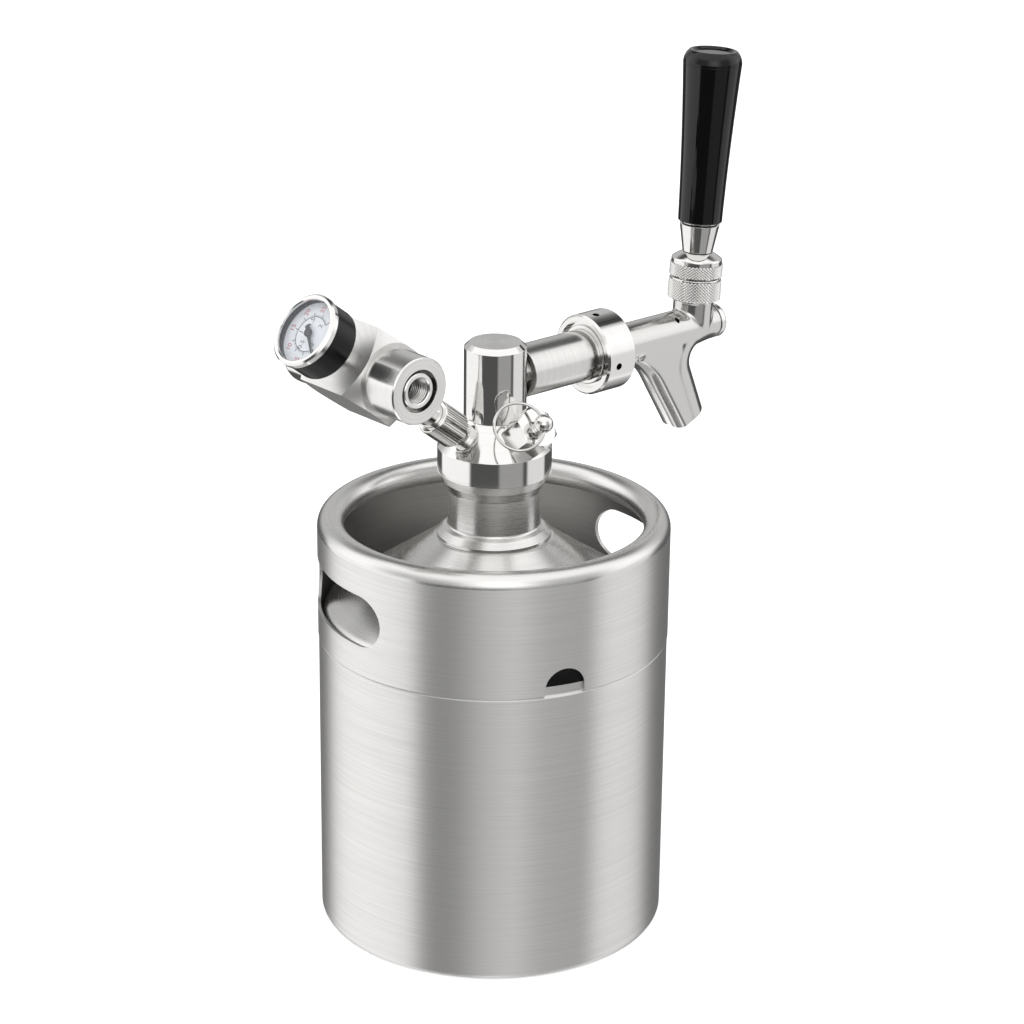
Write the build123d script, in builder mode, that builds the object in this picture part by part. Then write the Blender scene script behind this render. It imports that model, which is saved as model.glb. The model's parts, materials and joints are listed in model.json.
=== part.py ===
from build123d import *
from math import cos, radians, sin, sqrt, tan
import os

os.makedirs("parts", exist_ok=True)

# A stainless one-gallon mini keg with a screw-on dispenser head: a lever tap on one side, a gas
# regulator with its gauge on the other, and a pull-ring relief valve between them.
# Millimetres. Origin at the centre of the keg's foot, +Z up, +X along the tap's shank.

# ------------------------------------------------------------------ driving dimensions

# Fits
running_gap = 0.05          # shaft in its own bore, per side
thread_gap = 0.1            # simplified screw threads, per side
slip_gap = 0.3              # curved faces that pass each other

# Keg shell
body_radius = 85.0
shell_wall = 1.2
foot_corner_radius = 3.0
foot_inner_radius = 2.0
dish_edge_radius = 4.0
foot_width = 11.0           # flat ring that the keg stands on
foot_slope = 6.0
dish_depth = 8.4
dish_crown = 2.0
seam_height = 148.1         # lower edge of the chime
joggle_length = 1.2
joggle_radius = 0.6
shoulder_height = 12.5      # straight shoulder above the seam
knuckle_radius = 9.0
dome_angle = 34.0
land_radius = 28.5
mouth_radius = 25.0
mouth_bend_radius = 3.0

# Chime, hand slots and drain notch
chime_overhang = 0.3        # chime's outside beyond the body's
chime_wall = 1.5
chime_rise = 54.8           # seam to the centre of the rolled rim
rim_radius = 6.5
rim_turn_angle = 295.0
slot_rise = 27.3            # seam to the middle of the hand slots
slot_length = 80.6
slot_height = 25.4
slot_azimuth = 162.5
notch_azimuth = -107.5
notch_width = 20.4
notch_height = 13.0

# Keg neck
neck_bore_radius = 18.5
neck_flange_radius = 27.8
neck_flange_thickness = 1.7
neck_cone_radius = 24.6
neck_cone_height = 4.7
neck_waist_radius = 22.3
neck_waist_start = 5.9
neck_waist_end = 23.7
neck_lip_radius = 24.5
neck_lip_start = 28.2
neck_lip_height = 32.5
neck_thread_radius = 21.9
neck_thread_length = 10.2
neck_spigot_depth = 5.0
neck_fillet = 1.5

# Cap and column
cap_radius = 27.5
cap_ring_height = 12.5
cap_cone_height = 14.7
cap_base_gap = 0.2
gasket_thickness = 2.0
gasket_width = 3.1
cap_chamber_radius = 12.0
cap_chamber_height = 4.5
column_radius = 15.0
column_height = 37.2
column_chamfer = 2.5
column_spigot_radius = 8.0
column_spigot_length = 8.5
column_bore_radius = 3.0
dip_tube_radius = 4.0
dip_tube_wall = 1.0
dip_tube_floor_gap = 4.0
dip_tube_reach = 4.3        # above the foot of the column
dip_nut_flats = 13.0
dip_nut_height = 4.5
dip_seal_thickness = 1.5
dip_seal_radius = 7.0

# Slanted ports on the cap's cone
port_radial = 20.0
port_rise = 21.3            # above the cap's lower edge
port_angle = 37.5
port_hole_radius = 4.5
port_depth = 7.5
port_drill_radius = 1.5
port_drill_depth = 13.0

# Shank and coupling nut
shank_rise = 19.0           # above the foot of the column
shank_radius = 12.6
shank_bore_radius = 3.0
shank_stub_radius = 7.0
shank_stub_length = 6.0
shank_flange_radius = 14.85
shank_flange_thickness = 2.0
nut_start = 55.6
nut_length = 18.0
nut_radius = 19.8
nut_thread_radius = 15.0
nut_recess_radius = 16.5
nut_recess_depth = 2.5
nut_lip_thickness = 2.5
nut_chamfer = 1.0
nut_hole_radius = 1.75
nut_hole_depth = 3.0
nut_hole_setback = 6.5      # from the nut's end nearer the keg
nut_hole_count = 4
nut_hole_azimuth = 97.0
nut_washer_radius = 14.6
nut_washer_thickness = 1.8
nut_washer_edge = 0.5
shank_seal_thickness = 1.5
shank_seal_bore = 7.5

# Faucet body
faucet_groove_end = 76.0
faucet_groove_radius = 9.2
barrel_radius = 9.8
barrel_bore_radius = 7.0
seat_start = 95.0
seat_length = 3.0
seat_bore_radius = 4.2
chamber_end = 112.0
chamber_radius = 6.0
guide_radius = 5.5
bulge_start = 110.0
bulge_crown_start = 119.0
bulge_crown_end = 129.0
bulge_radius = 12.8
nose_start = 139.0
nose_radius = 8.6
nose_end = 143.0
plug_length = 4.0
plug_spigot_radius = 6.0
plug_spigot_length = 5.5
plug_socket_flats = 5.0
plug_socket_depth = 3.0
vent_x = 113.6
vent_y = -6.1
vent_radius = 1.2
vent_depth = 3.0

# Spout
spout_tip_x = 126.5
spout_drop = 45.2           # shank's axis to the middle of the outlet
spout_angle = 27.4          # from the vertical
spout_radius = 9.4
spout_bore_radius = 6.4
spout_bore_stop = 2.7        # top of the outlet's bore below the shank's axis
spout_back_reach = 10.8     # flat towards the keg, from the spout's axis
spout_back_width = 9.0
spout_bevel = 2.2
spout_side_draft = 0.4      # sides lean in by this towards the bevel
spout_groove_width = 3.4
spout_groove_depth = 1.6
spout_waist_distance = 21.6
spout_waist_reach = 12.2
spout_waist_swell = 1.4     # flat's reach at the waist beyond its reach at the tip
spout_root_distance = 36.0
spout_root_reach = 14.8
spout_root_back = 13.4
spout_top_distance = 45.0
spout_top_reach = 17.0
spout_top_back = 16.2
spout_top_half_width = 8.3

# Lever axis, measured from its foot on the shank's axis
lever_x = 129.75
lever_lean_angle = 3.76
neck_radius = 10.0
neck_root_radius = 12.4
neck_root_height = 11.0
neck_top = 13.8
spigot_radius = 9.0
spigot_top = 30.0
seat_bore = 7.5
seat_floor = 15.0
passage_top_radius = 4.2
passage_foot = 3.0
pivot_station = 20.0
ball_radius = 5.5
ball_gap = 0.1
cup_top = 19.4
friction_ring_start = 20.6
friction_ring_end = 25.5
ring_radius = 13.1
ring_chamfer = 0.9
lock_ring_foot_radius = 11.0
lock_ring_foot_rise = 1.2
lock_ring_end = 25.7
cap_ring_start = 26.7
cap_ring_end = 33.6
dome_radius = 19.6
dome_wall = 1.9
boss_bore_radius = 5.0
dome_mouth_radius = 8.2
boss_wall_radius = 7.4
lever_travel_angle = 18.0
rod_radius = 2.6
rod_slot_gap = 0.4
arm_radius = 1.7
arm_tip_radius = 2.5
skirt_radius = 7.5
skirt_gap = 0.3
cone_top_radius = 9.9
cone_top = 53.0
stud_radius = 4.0
stud_end = 67.0
cone_edge = 0.8
cone_shoulder_radius = 9.0

# Handle
handle_start = 53.6
handle_end = 131.8
handle_foot_radius = 10.9
handle_edge = 0.6
handle_mid_radius = 12.2
handle_top_radius = 14.4
handle_cap_height = 6.9
handle_cap_shoulder_drop = 0.7
handle_cap_shoulder_height = 4.1
handle_cap_rim_radius = 11.6
handle_cap_rim_width = 1.2
handle_cap_dish = 1.0
handle_joint_radius = 6.0
handle_joint_length = 5.0
insert_radius = 6.5
insert_length = 16.0

# Plunger, driven by the lever's arm
plunger_gap = 0.08
plunger_front = 136.5
plunger_back = 113.0
plunger_rod_radius = 2.2
plunger_hole_radius = 2.9
plunger_hole_mouth = 4.4
plunger_hole_depth = 3.7
plunger_cone_depth = 3.2
retainer_radius = 5.0
retainer_thickness = 3.0
plunger_seal_radius = 5.8
plunger_seal_thickness = 2.0
oring_wire = 0.9
oring_x = 121.0

# Gas post, check valve and hand nut, measured along the gas line from the cone
post_flange_radius = 8.2
post_flange_seat = 2.0
post_flange_top = 0.6
post_neck_radius = 6.2
post_neck_end = 6.0
post_thread_radius = 6.55
post_end = 18.0
post_bore_radius = 1.6
check_chamber_radius = 3.2
check_chamber_start = -5.0
check_chamber_end = 9.0
check_ball_radius = 2.6
check_ball_gap = 0.1
check_ball_lift = 1.0
check_spring_wire = 0.35
check_spring_turns = 5
sleeve_start = 6.5
sleeve_end = 24.0
sleeve_radius = 8.9
sleeve_bevel = 0.8
stem_radius = 6.2
stem_flange_radius = 7.2
stem_flange_thickness = 2.2
stem_nose_radius = 1.5
stem_nose_length = 4.0
stem_bore_radius = 1.0
stem_spigot_radius = 5.95
stem_spigot_length = 5.0

# Regulator, centred on the gas line, its own axis along Y
regulator_station = 75.5
block_side = 35.0
block_length = 40.0
block_chamfer_angle = 35.0
chamber_bore = 12.0
chamber_floor = 4.0         # below the middle, towards the inlet
inlet_socket_radius = 11.0
inlet_socket_depth = 8.0
inlet_radius = 15.75
inlet_length = 20.5
inlet_edge = 0.6
inlet_recess_radius = 10.0
inlet_recess_depth = 10.5
insert_outer_radius = 8.4
insert_setback = 0.6
insert_foot = 16.0
cartridge_thread_radius = 5.95
cartridge_thread_length = 12.0
cartridge_chamfer = 0.5
cartridge_relief_radius = 6.4
cartridge_relief_length = 2.5
inlet_seal_thickness = 1.4
pin_radius = 1.2
pin_base_radius = 3.9
pin_base_thickness = 3.0
pin_point = 1.5
knob_radius = 15.75
knob_length = 20.7
knob_edge = 3.0
knob_wall = 3.0
bonnet_outer_radius = 11.6
bonnet_inner_radius = 9.0
bonnet_length = 13.0
bonnet_socket_depth = 7.0
bonnet_end_wall = 2.0
screw_radius = 3.0
screw_inner_end = 18.5
spring_seat_radius = 8.7
spring_seat_start = 23.0
spring_seat_thickness = 3.0
spring_seat_travel = 3.0
piston_start = 4.5
piston_thickness = 3.5
piston_stem_radius = 2.5
piston_stem_length = 6.5
piston_travel = 1.0
main_spring_radius = 5.6
main_spring_wire = 0.9
main_spring_turns = 5

# Gauge, measured along the gas line from the regulator's middle
gauge_stem_radius = 4.5
gauge_stem_length = 7.5
gauge_spigot_radius = 4.4
gauge_spigot_length = 5.0
gauge_socket_radius = 3.0
gauge_collar_radius = 6.0
gauge_collar_thickness = 2.5
gauge_case_radius = 17.2
gauge_case_length = 16.4
gauge_back_radius = 2.4
gauge_wall = 1.5
gauge_back_wall = 3.0
bezel_radius = 17.8
bezel_window = 15.1
bezel_depth = 3.2
bezel_front = 18.0
bezel_lip = 0.9
lens_thickness = 1.2
dial_depth = 5.2            # dial face below the bezel's front
dial_thickness = 0.8
spindle_radius = 0.6
needle_lift = 1.2
needle_thickness = 0.4
needle_length = 11.5
needle_tail = 4.5
needle_tail_half_width = 1.3
needle_tip_half_width = 0.33
needle_hub_radius = 2.0
needle_hub_height = 1.1
needle_rest_angle = 45.0    # from straight down, away from the dial's upright

# Relief valve, measured along its own axis from the cone
relief_hex_flats = 19.0
relief_hex_length = 14.0
relief_seat = 1.0
relief_hex_angle = 30.0
relief_bevel_angle = 30.0
relief_bore_radius = 5.2
relief_bore_start = 2.5
relief_seat_radius = 2.0
relief_lid_thickness = 2.0
relief_stem_radius = 3.0
relief_collar_radius = 4.9
relief_collar_thickness = 1.2
relief_disc_radius = 4.4
relief_disc_thickness = 1.4
relief_knob_station = 18.7
relief_knob_radius = 4.5
relief_lift = 2.5
relief_spring_radius = 4.1
relief_spring_wire = 0.45
relief_spring_turns = 4
ring_wire = 0.75
ring_bend_radius = 11.75
ring_lean_angle = 23.6
ring_hole_radius = 1.1
ring_hole_mouth = 2.1
ring_hole_azimuth = 75.3    # direction of the cross hole around the valve's axis

# ------------------------------------------------------------------ derived places

chime_radius = body_radius + chime_overhang
slot_centre_height = seam_height + slot_rise
shoulder_radius = body_radius - joggle_length - thread_gap
land_height = (seam_height + shoulder_height
               + (shoulder_radius - land_radius) * tan(radians(dome_angle)))
lip_top = land_height + neck_lip_height
neck_top_height = lip_top + neck_thread_length
cap_base = lip_top + cap_base_gap
cap_ring_top = cap_base + cap_ring_height
column_base = cap_ring_top + cap_cone_height
column_top = column_base + column_height
cap_ceiling = neck_top_height + gasket_thickness
chamber_ceiling = cap_ceiling + cap_chamber_height
shank_height = column_base + shank_rise
port_height = cap_base + port_rise
tilt = radians(lever_lean_angle)
slant = radians(port_angle)

along_y = (0, 1, 0)
gas_line = Vector(-cos(slant), 0, sin(slant))
relief_line = Vector(0, -cos(slant), sin(slant))
lever_line = Vector(sin(tilt), 0, cos(tilt))
spout_line = Vector(-sin(radians(spout_angle)), 0, cos(radians(spout_angle)))

shank_station = Plane(origin=(0, 0, shank_height), x_dir=along_y, z_dir=(1, 0, 0))
lever_station = Plane(origin=(lever_x, 0, shank_height), x_dir=along_y, z_dir=lever_line)
gas_station = Plane(origin=(-port_radial, 0, port_height), x_dir=along_y, z_dir=gas_line)
relief_station = Plane(origin=(0, -port_radial, port_height), x_dir=(1, 0, 0), z_dir=relief_line)
spout_station = Plane(origin=(spout_tip_x, 0, shank_height - spout_drop), x_dir=(0, -1, 0), z_dir=spout_line)
regulator_centre = gas_station.origin + gas_line * regulator_station
knob_station = Plane(origin=regulator_centre, x_dir=gas_line, z_dir=along_y)
inlet_station = Plane(origin=regulator_centre, x_dir=gas_line, z_dir=(0, -1, 0))
pivot_point = lever_station.origin + lever_line * pivot_station
lever_travel = radians(lever_travel_angle)
passage_foot_radius = ((pivot_station - passage_foot) * tan(lever_travel)
                       + arm_radius / cos(lever_travel) + slip_gap)


# ------------------------------------------------------------------ helpers

def section_plane(station):
    """Plane through a station's axis: local x is the radius, local y runs along the axis."""
    return Plane(origin=station.origin, x_dir=station.x_dir,
                 z_dir=station.x_dir.cross(station.z_dir))


def axis_of(station):
    return Axis(station.origin, station.z_dir)


def turned_section(outline, station):
    """Half section of a turned piece, from (radius, distance along the axis) points."""
    with BuildSketch(section_plane(station)) as section:
        with BuildLine():
            Polyline(*outline, close=True)
        make_face()
    return section.sketch


def ring_section(inner, outer, start, end, station):
    """Half section of a plain ring or disc."""
    outline = [(inner, start), (outer, start), (outer, end), (inner, end)]
    return turned_section(outline, station)


def ball_section(radius, centre, station):
    """Half disc for a ball centred on the axis."""
    with BuildSketch(section_plane(station)) as section:
        with BuildLine():
            low = (0, centre - radius)
            high = (0, centre + radius)
            ThreePointArc(low, (radius, centre), high)
            Line(high, low)
        make_face()
    return section.sketch


def at_azimuth(azimuth, height):
    """Plane that faces outwards from the keg's axis."""
    turn = radians(azimuth)
    outwards = Vector(cos(turn), sin(turn), 0)
    return Plane(origin=(0, 0, height), x_dir=(-sin(turn), cos(turn), 0), z_dir=outwards)


def coil_spring(station, radius, wire, start, end, turns):
    """Open coil between two flat seats."""
    height = end - start - 2 * wire
    centre = station.origin + station.z_dir * (start + wire)
    with BuildPart() as coil:
        with BuildLine() as path:
            Helix(pitch=height / turns, height=height, radius=radius,
                  center=centre, direction=station.z_dir)
        with BuildSketch(Plane(origin=path.line @ 0, z_dir=path.line % 0)):
            Circle(wire)
        sweep()
    return coil.part


def write_piece(piece, name):
    piece.label = name
    export_step(piece, "parts/" + name + ".step")


# ------------------------------------------------------------------ keg

with BuildPart() as keg_shell:
    with BuildSketch(Plane.XZ):
        with BuildLine():
            skin = FilletPolyline(
                (0, dish_depth),
                (body_radius - foot_width - foot_slope, dish_depth - dish_crown),
                (body_radius - foot_width, 0),
                (body_radius, 0),
                (body_radius, seam_height - joggle_length),
                (shoulder_radius, seam_height),
                (shoulder_radius, seam_height + shoulder_height),
                (land_radius, land_height),
                (mouth_radius, land_height),
                radius=[dish_edge_radius, foot_inner_radius, foot_corner_radius,
                        joggle_radius, joggle_radius, knuckle_radius, mouth_bend_radius])
            offset(skin, amount=shell_wall, side=Side.LEFT, closed=True)
        make_face()
    revolve(axis=Axis.Z)
write_piece(keg_shell.part, "keg_shell")

with BuildPart() as chime:
    with BuildSketch(Plane.XZ):
        with BuildLine():
            rim_height = seam_height + chime_rise
            Line((chime_radius, seam_height), (chime_radius, rim_height))
            CenterArc((chime_radius - rim_radius, rim_height), rim_radius, 0, rim_turn_angle)
            offset(amount=chime_wall, side=Side.LEFT, closed=True)
        make_face()
    revolve(axis=Axis.Z)
    for azimuth in (slot_azimuth, slot_azimuth + 180):
        with BuildSketch(at_azimuth(azimuth, slot_centre_height)):
            SlotOverall(slot_length, slot_height)
        extrude(amount=chime_radius + chime_wall, mode=Mode.SUBTRACT)
    with BuildSketch(at_azimuth(notch_azimuth, seam_height)):
        arch_height = notch_height - notch_width / 2
        with Locations((0, arch_height)):
            Circle(notch_width / 2)
        with Locations((0, arch_height / 2 - chime_wall / 2)):
            Rectangle(notch_width, arch_height + chime_wall)
    extrude(amount=chime_radius + chime_wall, mode=Mode.SUBTRACT)
write_piece(chime.part, "chime")

with BuildPart() as keg_neck:
    neck_outline = [
        (neck_bore_radius, -neck_spigot_depth),
        (mouth_radius - running_gap, -neck_spigot_depth),
        (mouth_radius - running_gap, 0),
        (neck_flange_radius, 0),
        (neck_flange_radius, neck_flange_thickness),
        (neck_cone_radius, neck_cone_height),
        (neck_waist_radius, neck_waist_start),
        (neck_waist_radius, neck_waist_end),
        (neck_lip_radius, neck_lip_start),
        (neck_lip_radius, neck_lip_height),
        (neck_thread_radius, neck_lip_height),
        (neck_thread_radius, neck_lip_height + neck_thread_length),
        (neck_bore_radius, neck_lip_height + neck_thread_length)]
    revolve(turned_section(neck_outline, Plane.XY.offset(land_height)), axis=Axis.Z)
    waist_edges = keg_neck.edges().filter_by(GeomType.CIRCLE).filter_by(
        lambda edge: abs(edge.radius - neck_waist_radius) < running_gap)
    fillet(waist_edges, neck_fillet)
write_piece(keg_neck.part, "keg_neck")

with BuildPart() as neck_gasket:
    gasket_outer = neck_thread_radius
    revolve(ring_section(gasket_outer - gasket_width, gasket_outer, neck_top_height, cap_ceiling,
                         Plane.XY), axis=Axis.Z)
write_piece(neck_gasket.part, "neck_gasket")

# ------------------------------------------------------------------ cap and column

port_seats = (
    (gas_station, post_flange_radius + running_gap, post_flange_seat),
    (relief_station, relief_hex_flats / sqrt(3) + thread_gap, relief_seat))

with BuildPart() as cap_body:
    cap_outline = [
        (neck_thread_radius + thread_gap, cap_base),
        (cap_radius, cap_base),
        (cap_radius, cap_ring_top),
        (column_radius, column_base),
        (column_spigot_radius + running_gap, column_base),
        (column_spigot_radius + running_gap, column_base - column_spigot_length),
        (dip_tube_radius + running_gap, column_base - column_spigot_length),
        (dip_tube_radius + running_gap, chamber_ceiling),
        (cap_chamber_radius, chamber_ceiling),
        (cap_chamber_radius, cap_ceiling),
        (neck_thread_radius + thread_gap, cap_ceiling)]
    revolve(turned_section(cap_outline, Plane.XY), axis=Axis.Z)
    for station, seat_radius, seat_depth in port_seats:
        revolve(ring_section(0, port_hole_radius, -port_depth, seat_radius, station),
                axis=axis_of(station), mode=Mode.SUBTRACT)
        revolve(ring_section(0, seat_radius, -seat_depth, seat_radius, station),
                axis=axis_of(station), mode=Mode.SUBTRACT)
        revolve(ring_section(0, port_drill_radius, -port_drill_depth, 0, station),
                axis=axis_of(station), mode=Mode.SUBTRACT)
write_piece(cap_body.part, "cap_body")

dip_tube_top = column_base + dip_tube_reach
dip_nut_top = chamber_ceiling - dip_seal_thickness

with BuildPart() as tap_column:
    column_outline = [
        (0, column_base - column_spigot_length + running_gap),
        (column_spigot_radius, column_base - column_spigot_length + running_gap),
        (column_spigot_radius, column_base),
        (column_radius, column_base),
        (column_radius, column_top - column_chamfer),
        (column_radius - column_chamfer, column_top),
        (0, column_top)]
    revolve(turned_section(column_outline, Plane.XY), axis=Axis.Z)
    revolve(ring_section(0, dip_tube_radius + running_gap, column_base - column_spigot_length,
                         dip_tube_top, Plane.XY), axis=Axis.Z, mode=Mode.SUBTRACT)
    revolve(ring_section(0, column_bore_radius, dip_tube_top, shank_height, Plane.XY),
            axis=Axis.Z, mode=Mode.SUBTRACT)
    revolve(ring_section(0, column_bore_radius, 0, column_radius, shank_station),
            axis=axis_of(shank_station), mode=Mode.SUBTRACT)
    revolve(ring_section(0, shank_stub_radius + running_gap, column_radius - shank_stub_length,
                         column_radius + slip_gap, shank_station),
            axis=axis_of(shank_station), mode=Mode.SUBTRACT)
    for station, seat_radius, seat_depth in port_seats:
        revolve(ring_section(0, seat_radius, -seat_depth, seat_radius, station),
                axis=axis_of(station), mode=Mode.SUBTRACT)
write_piece(tap_column.part, "tap_column")

with BuildPart() as dip_tube:
    tube_foot = dish_depth + dip_tube_floor_gap
    revolve(ring_section(dip_tube_radius - dip_tube_wall, dip_tube_radius, tube_foot,
                         dip_tube_top, Plane.XY), axis=Axis.Z)
write_piece(dip_tube.part, "dip_tube")

with BuildPart() as dip_tube_seal:
    revolve(ring_section(dip_tube_radius + running_gap, dip_seal_radius, dip_nut_top,
                         chamber_ceiling,
                         Plane.XY), axis=Axis.Z)
write_piece(dip_tube_seal.part, "dip_tube_seal")

with BuildPart() as dip_tube_nut:
    with BuildSketch(Plane.XY.offset(dip_nut_top)):
        RegularPolygon(dip_nut_flats / 2, 6, major_radius=False)
        Circle(dip_tube_radius + running_gap, mode=Mode.SUBTRACT)
    extrude(amount=-dip_nut_height)
write_piece(dip_tube_nut.part, "dip_tube_nut")

# ------------------------------------------------------------------ shank and coupling nut

recess_floor = nut_start + nut_recess_depth
lip_front = recess_floor + nut_lip_thickness
shank_end = lip_front + shank_flange_thickness
faucet_back = shank_end + shank_seal_thickness
nut_end = nut_start + nut_length

with BuildPart() as shank:
    shank_outline = [
        (shank_bore_radius, column_radius - shank_stub_length),
        (shank_stub_radius, column_radius - shank_stub_length),
        (shank_stub_radius, column_radius),
        (shank_radius, column_radius),
        (shank_radius, lip_front),
        (shank_flange_radius, lip_front),
        (shank_flange_radius, shank_end),
        (shank_bore_radius, shank_end)]
    revolve(turned_section(shank_outline, shank_station), axis=axis_of(shank_station))
write_piece(shank.part, "shank")

with BuildPart() as shank_seal:
    revolve(ring_section(shank_seal_bore, shank_flange_radius, shank_end, faucet_back,
                         shank_station), axis=axis_of(shank_station))
write_piece(shank_seal.part, "shank_seal")

with BuildPart() as nut_washer:
    revolve(ring_section(shank_radius + running_gap, nut_washer_radius,
                         recess_floor - nut_washer_thickness, recess_floor, shank_station),
            axis=axis_of(shank_station))
    fillet(nut_washer.edges().group_by(Axis.X)[0].sort_by(SortBy.RADIUS)[-1], nut_washer_edge)
write_piece(nut_washer.part, "nut_washer")

with BuildPart() as collar_nut:
    nut_outline = [
        (nut_recess_radius, nut_start),
        (nut_radius - nut_chamfer, nut_start),
        (nut_radius, nut_start + nut_chamfer),
        (nut_radius, nut_end - nut_chamfer),
        (nut_radius - nut_chamfer, nut_end),
        (nut_thread_radius, nut_end),
        (nut_thread_radius, lip_front),
        (shank_radius + thread_gap, lip_front),
        (shank_radius + thread_gap, recess_floor),
        (nut_recess_radius, recess_floor)]
    revolve(turned_section(nut_outline, shank_station), axis=axis_of(shank_station))
    for number in range(nut_hole_count):
        turn = radians(nut_hole_azimuth + number * 360 / nut_hole_count)
        outwards = Vector(0, cos(turn), sin(turn))
        mouth = Vector(nut_start + nut_hole_setback, 0, shank_height) + outwards * nut_radius
        with BuildSketch(Plane(origin=mouth, x_dir=(1, 0, 0), z_dir=outwards)):
            Circle(nut_hole_radius)
        extrude(amount=-nut_hole_depth, mode=Mode.SUBTRACT)
write_piece(collar_nut.part, "collar_nut")


# ------------------------------------------------------------------ faucet

def spout_section(distance, reach, back, half_width):
    """Spout section square to its axis: round towards the glass, bevelled flat towards the keg."""
    flat = spout_back_width / 2
    with BuildSketch(spout_station.offset(distance)) as section:
        with BuildLine():
            ThreePointArc((-half_width, 0), (0, reach), (half_width, 0))
            Polyline((half_width, 0), (half_width - spout_side_draft, spout_bevel - back),
                     (flat, -back), (-flat, -back),
                     (spout_side_draft - half_width, spout_bevel - back), (-half_width, 0))
        make_face()
    return section.sketch


def groove_section(distance):
    """Groove down the spout's flat, at one of the distances that its sections use."""
    back = spout_back_reach
    if distance >= spout_waist_distance:
        back = spout_back_reach + spout_waist_swell
    if distance >= spout_root_distance:
        back = spout_root_back
    with BuildSketch(spout_station.offset(distance)) as section:
        with BuildLine():
            Polyline((-spout_groove_width / 2, -back - running_gap),
                     (spout_groove_width / 2, -back - running_gap),
                     (0, spout_groove_depth - back), close=True)
        make_face()
    return section.sketch


plug_start = nose_end - plug_spigot_length

with BuildPart() as faucet_body:
    barrel_outline = [
        (0, faucet_back),
        (nut_thread_radius - running_gap, faucet_back),
        (nut_thread_radius - running_gap, nut_end),
        (faucet_groove_radius, nut_end),
        (faucet_groove_radius, faucet_groove_end),
        (barrel_radius, faucet_groove_end),
        (barrel_radius, bulge_start),
        (bulge_radius, bulge_crown_start),
        (bulge_radius, bulge_crown_end),
        (nose_radius, nose_start),
        (nose_radius, nose_end),
        (0, nose_end)]
    revolve(turned_section(barrel_outline, shank_station), axis=axis_of(shank_station))
    neck_outline = [
        (0, 0), (neck_root_radius, 0), (neck_radius, neck_root_height), (neck_radius, neck_top),
        (spigot_radius, neck_top), (spigot_radius, spigot_top), (0, spigot_top)]
    revolve(turned_section(neck_outline, lever_station), axis=axis_of(lever_station))
    loft([spout_section(0, spout_radius, spout_back_reach, spout_radius),
          spout_section(spout_waist_distance, spout_waist_reach, spout_back_reach + spout_waist_swell,
                        spout_radius),
          spout_section(spout_root_distance, spout_root_reach, spout_root_back,
                        barrel_radius),
          spout_section(spout_top_distance, spout_top_reach, spout_top_back,
                        spout_top_half_width)])
    for start, end in ((0, spout_waist_distance), (spout_waist_distance, spout_root_distance)):
        loft([groove_section(start), groove_section(end)], mode=Mode.SUBTRACT)
    bore_outline = [
        (0, faucet_back - running_gap),
        (barrel_bore_radius, faucet_back - running_gap),
        (barrel_bore_radius, seat_start),
        (seat_bore_radius, seat_start),
        (seat_bore_radius, seat_start + seat_length),
        (chamber_radius, seat_start + seat_length),
        (chamber_radius, chamber_end),
        (guide_radius, chamber_end),
        (guide_radius, plug_start),
        (plug_spigot_radius + running_gap, plug_start),
        (plug_spigot_radius + running_gap, nose_end + plug_length),
        (0, nose_end + plug_length)]
    revolve(turned_section(bore_outline, shank_station), axis=axis_of(shank_station),
            mode=Mode.SUBTRACT)
    passage_outline = [
        (0, passage_foot), (passage_foot_radius, passage_foot), (passage_top_radius, seat_floor),
        (seat_bore, seat_floor), (seat_bore, spigot_top), (0, spigot_top)]
    revolve(turned_section(passage_outline, lever_station), axis=axis_of(lever_station),
            mode=Mode.SUBTRACT)
    spout_reach = (spout_drop - spout_bore_stop) / cos(radians(spout_angle))
    revolve(ring_section(0, spout_bore_radius, 0, spout_reach, spout_station),
            axis=axis_of(spout_station), mode=Mode.SUBTRACT)
    with BuildSketch(Plane.XY.offset(shank_height + bulge_radius)):
        with Locations((vent_x, vent_y)):
            Circle(vent_radius)
    extrude(amount=-vent_depth - bulge_radius + barrel_radius, mode=Mode.SUBTRACT)
write_piece(faucet_body.part, "faucet_body")

with BuildPart() as nose_plug:
    plug_outline = [
        (0, plug_start),
        (plug_spigot_radius, plug_start),
        (plug_spigot_radius, nose_end),
        (nose_radius, nose_end),
        (nose_radius, nose_end + plug_length),
        (0, nose_end + plug_length)]
    revolve(turned_section(plug_outline, shank_station), axis=axis_of(shank_station))
    fillet(nose_plug.edges().group_by(Axis.X)[-1], plug_length / 2)
    with BuildSketch(shank_station.offset(nose_end + plug_length)):
        RegularPolygon(plug_socket_flats / 2, 6, major_radius=False)
    extrude(amount=-plug_socket_depth, mode=Mode.SUBTRACT)
write_piece(nose_plug.part, "nose_plug")

# ------------------------------------------------------------------ plunger

plunger_radius = guide_radius - plunger_gap
seal_back = seat_start - plunger_seal_thickness

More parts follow.
